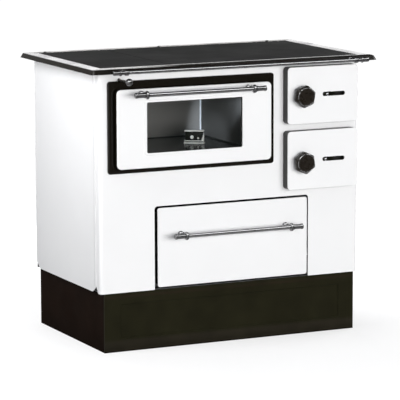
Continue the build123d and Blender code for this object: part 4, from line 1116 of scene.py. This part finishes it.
    def room(self, scene, ambient):
        """Even room light; metal mirrors a dark room with a soft light ahead, and a white sweep behind."""
        scene.world = bpy.data.worlds.new("Studio room")
        tree = emptied(scene.world)
        ray = axes(tree, "Generated")
        height = map_range(tree, -1.0, 1.0)
        depth = map_range(tree, -0.15, 0.25, interpolation_type="SMOOTHSTEP")
        side = map_range(tree, -0.15, -0.32)
        ahead, beside, behind = (
            ramp(tree, *((position, (level, level, level)) for position, level in stops))
            for stops in (self.AHEAD, self.BESIDE, self.BEHIND))
        front = add_node(tree, "ShaderNodeMix", data_type="RGBA")
        blend = add_node(tree, "ShaderNodeMix", data_type="RGBA")
        soft = add_node(tree, "ShaderNodeBackground", {"Color": (*self.ROOM_COLOUR, 1), "Strength": ambient})
        white = add_node(tree, "ShaderNodeBackground", {"Color": (*self.WHITE, 1), "Strength": 1.0})
        mirrored = add_node(tree, "ShaderNodeBackground", {"Strength": self.MIRROR_STRENGTH})
        join(tree,
             (ray["Z"], height.inputs["Value"]),
             (ray["Y"], depth.inputs["Value"]),
             (ray["X"], side.inputs["Value"]),
             (height.outputs["Result"], ahead.inputs["Fac"]),
             (height.outputs["Result"], beside.inputs["Fac"]),
             (height.outputs["Result"], behind.inputs["Fac"]),
             (side.outputs["Result"], front.inputs[MIX_FACTOR]),
             (ahead.outputs["Color"], front.inputs[MIX_A]),
             (beside.outputs["Color"], front.inputs[MIX_B]),
             (depth.outputs["Result"], blend.inputs[MIX_FACTOR]),
             (front.outputs[MIX_RESULT], blend.inputs[MIX_A]),
             (behind.outputs["Color"], blend.inputs[MIX_B]),
             (blend.outputs[MIX_RESULT], mirrored.inputs["Color"]))
        self.by_ray(tree, "ShaderNodeOutputWorld", soft.outputs["Background"],
                    mirrored.outputs["Background"], white.outputs["Background"])

    def aimed(self, data, place, target, power, colour):
        """Put a lamp in the scene, aimed at a point and not seen in reflections."""
        data.energy = power
        data.color = colour
        lamp = bpy.data.objects.new(data.name, data)
        bpy.context.scene.collection.objects.link(lamp)
        lamp.visible_glossy = False
        lamp.location = place
        lamp.rotation_euler = (Vector(target) - Vector(place)).to_track_quat("-Z", "Y").to_euler()
        return lamp

    def area_lamp(self, name, place, target, size, power, colour):
        """Large soft lamp."""
        data = bpy.data.lights.new(name, "AREA")
        data.shape = "RECTANGLE"
        data.size, data.size_y = size
        self.aimed(data, place, target, power, colour)

    def oven_lamp(self, name, place, target, cone, power, squeeze):
        """Cool light that falls on the walls inside the oven, its cone squeezed across."""
        data = bpy.data.lights.new(name, "SPOT")
        data.spot_size = math.radians(cone)
        data.spot_blend = 1.0
        data.shadow_soft_size = 2 * MM
        self.aimed(data, place, target, power, self.OVEN_COLOUR).scale.x = squeeze

    def camera(self, scene, lens):
        """Camera at the photograph's angle and distance."""
        yaw, pitch, roll = (math.radians(angle) for angle in self.TURN)
        ahead = Vector((math.sin(yaw) * math.cos(pitch), math.cos(yaw) * math.cos(pitch), -math.sin(pitch)))
        right = Vector((math.cos(yaw), -math.sin(yaw), 0))
        up = right.cross(ahead)
        level, tilt = math.cos(roll), math.sin(roll)
        turn = Matrix((right * level + up * tilt, up * level - right * tilt, -ahead)).transposed()
        data = bpy.data.cameras.new("Camera")
        data.lens = lens
        data.sensor_width = 36.0
        data.clip_end = 100.0
        camera = bpy.data.objects.new("Camera", data)
        scene.collection.objects.link(camera)
        camera.matrix_world = Matrix.Translation(self.EYE) @ turn.to_4x4()
        scene.camera = camera


class STOVE_PT_panel(bpy.types.Panel):
    """Stove tools in the sidebar"""

    bl_idname = "STOVE_PT_panel"
    bl_label = "Cookstove"
    bl_space_type = "VIEW_3D"
    bl_region_type = "UI"
    bl_category = "Cookstove"

    def draw(self, context):
        layout = self.layout
        for name in SETTINGS:
            settings = getattr(context.scene, name)
            box = layout.box()
            for prop in settings.__annotations__:
                box.prop(settings, prop)
        for operator in OPERATORS:
            layout.operator(operator.bl_idname)


OPERATORS = (
    STOVE_OT_finishes, STOVE_OT_bar_handles, STOVE_OT_towel_rail, STOVE_OT_knobs, STOVE_OT_air_slides,
    STOVE_OT_damper_pull, STOVE_OT_thermometer, STOVE_OT_top_strips, STOVE_OT_trim, STOVE_OT_stage)
SETTINGS = {"stove_finish": FinishSettings, "stove_fitting": FittingSettings, "stove_light": LightSettings}
CLASSES = (*SETTINGS.values(), *OPERATORS, STOVE_PT_panel)


def register():
    """Register the classes and attach the settings to the scene."""
    for cls in CLASSES:
        bpy.utils.register_class(cls)
    for name, cls in SETTINGS.items():
        setattr(bpy.types.Scene, name, PointerProperty(type=cls))


def unregister():
    """Remove the settings and the classes."""
    for name in SETTINGS:
        delattr(bpy.types.Scene, name)
    for cls in reversed(CLASSES):
        bpy.utils.unregister_class(cls)


def main():
    """Build the visual model."""
    register()
    for operator in OPERATORS:
        group, name = operator.bl_idname.split(".")
        getattr(getattr(bpy.ops, group), name)()


if __name__ == "__main__":
    main()
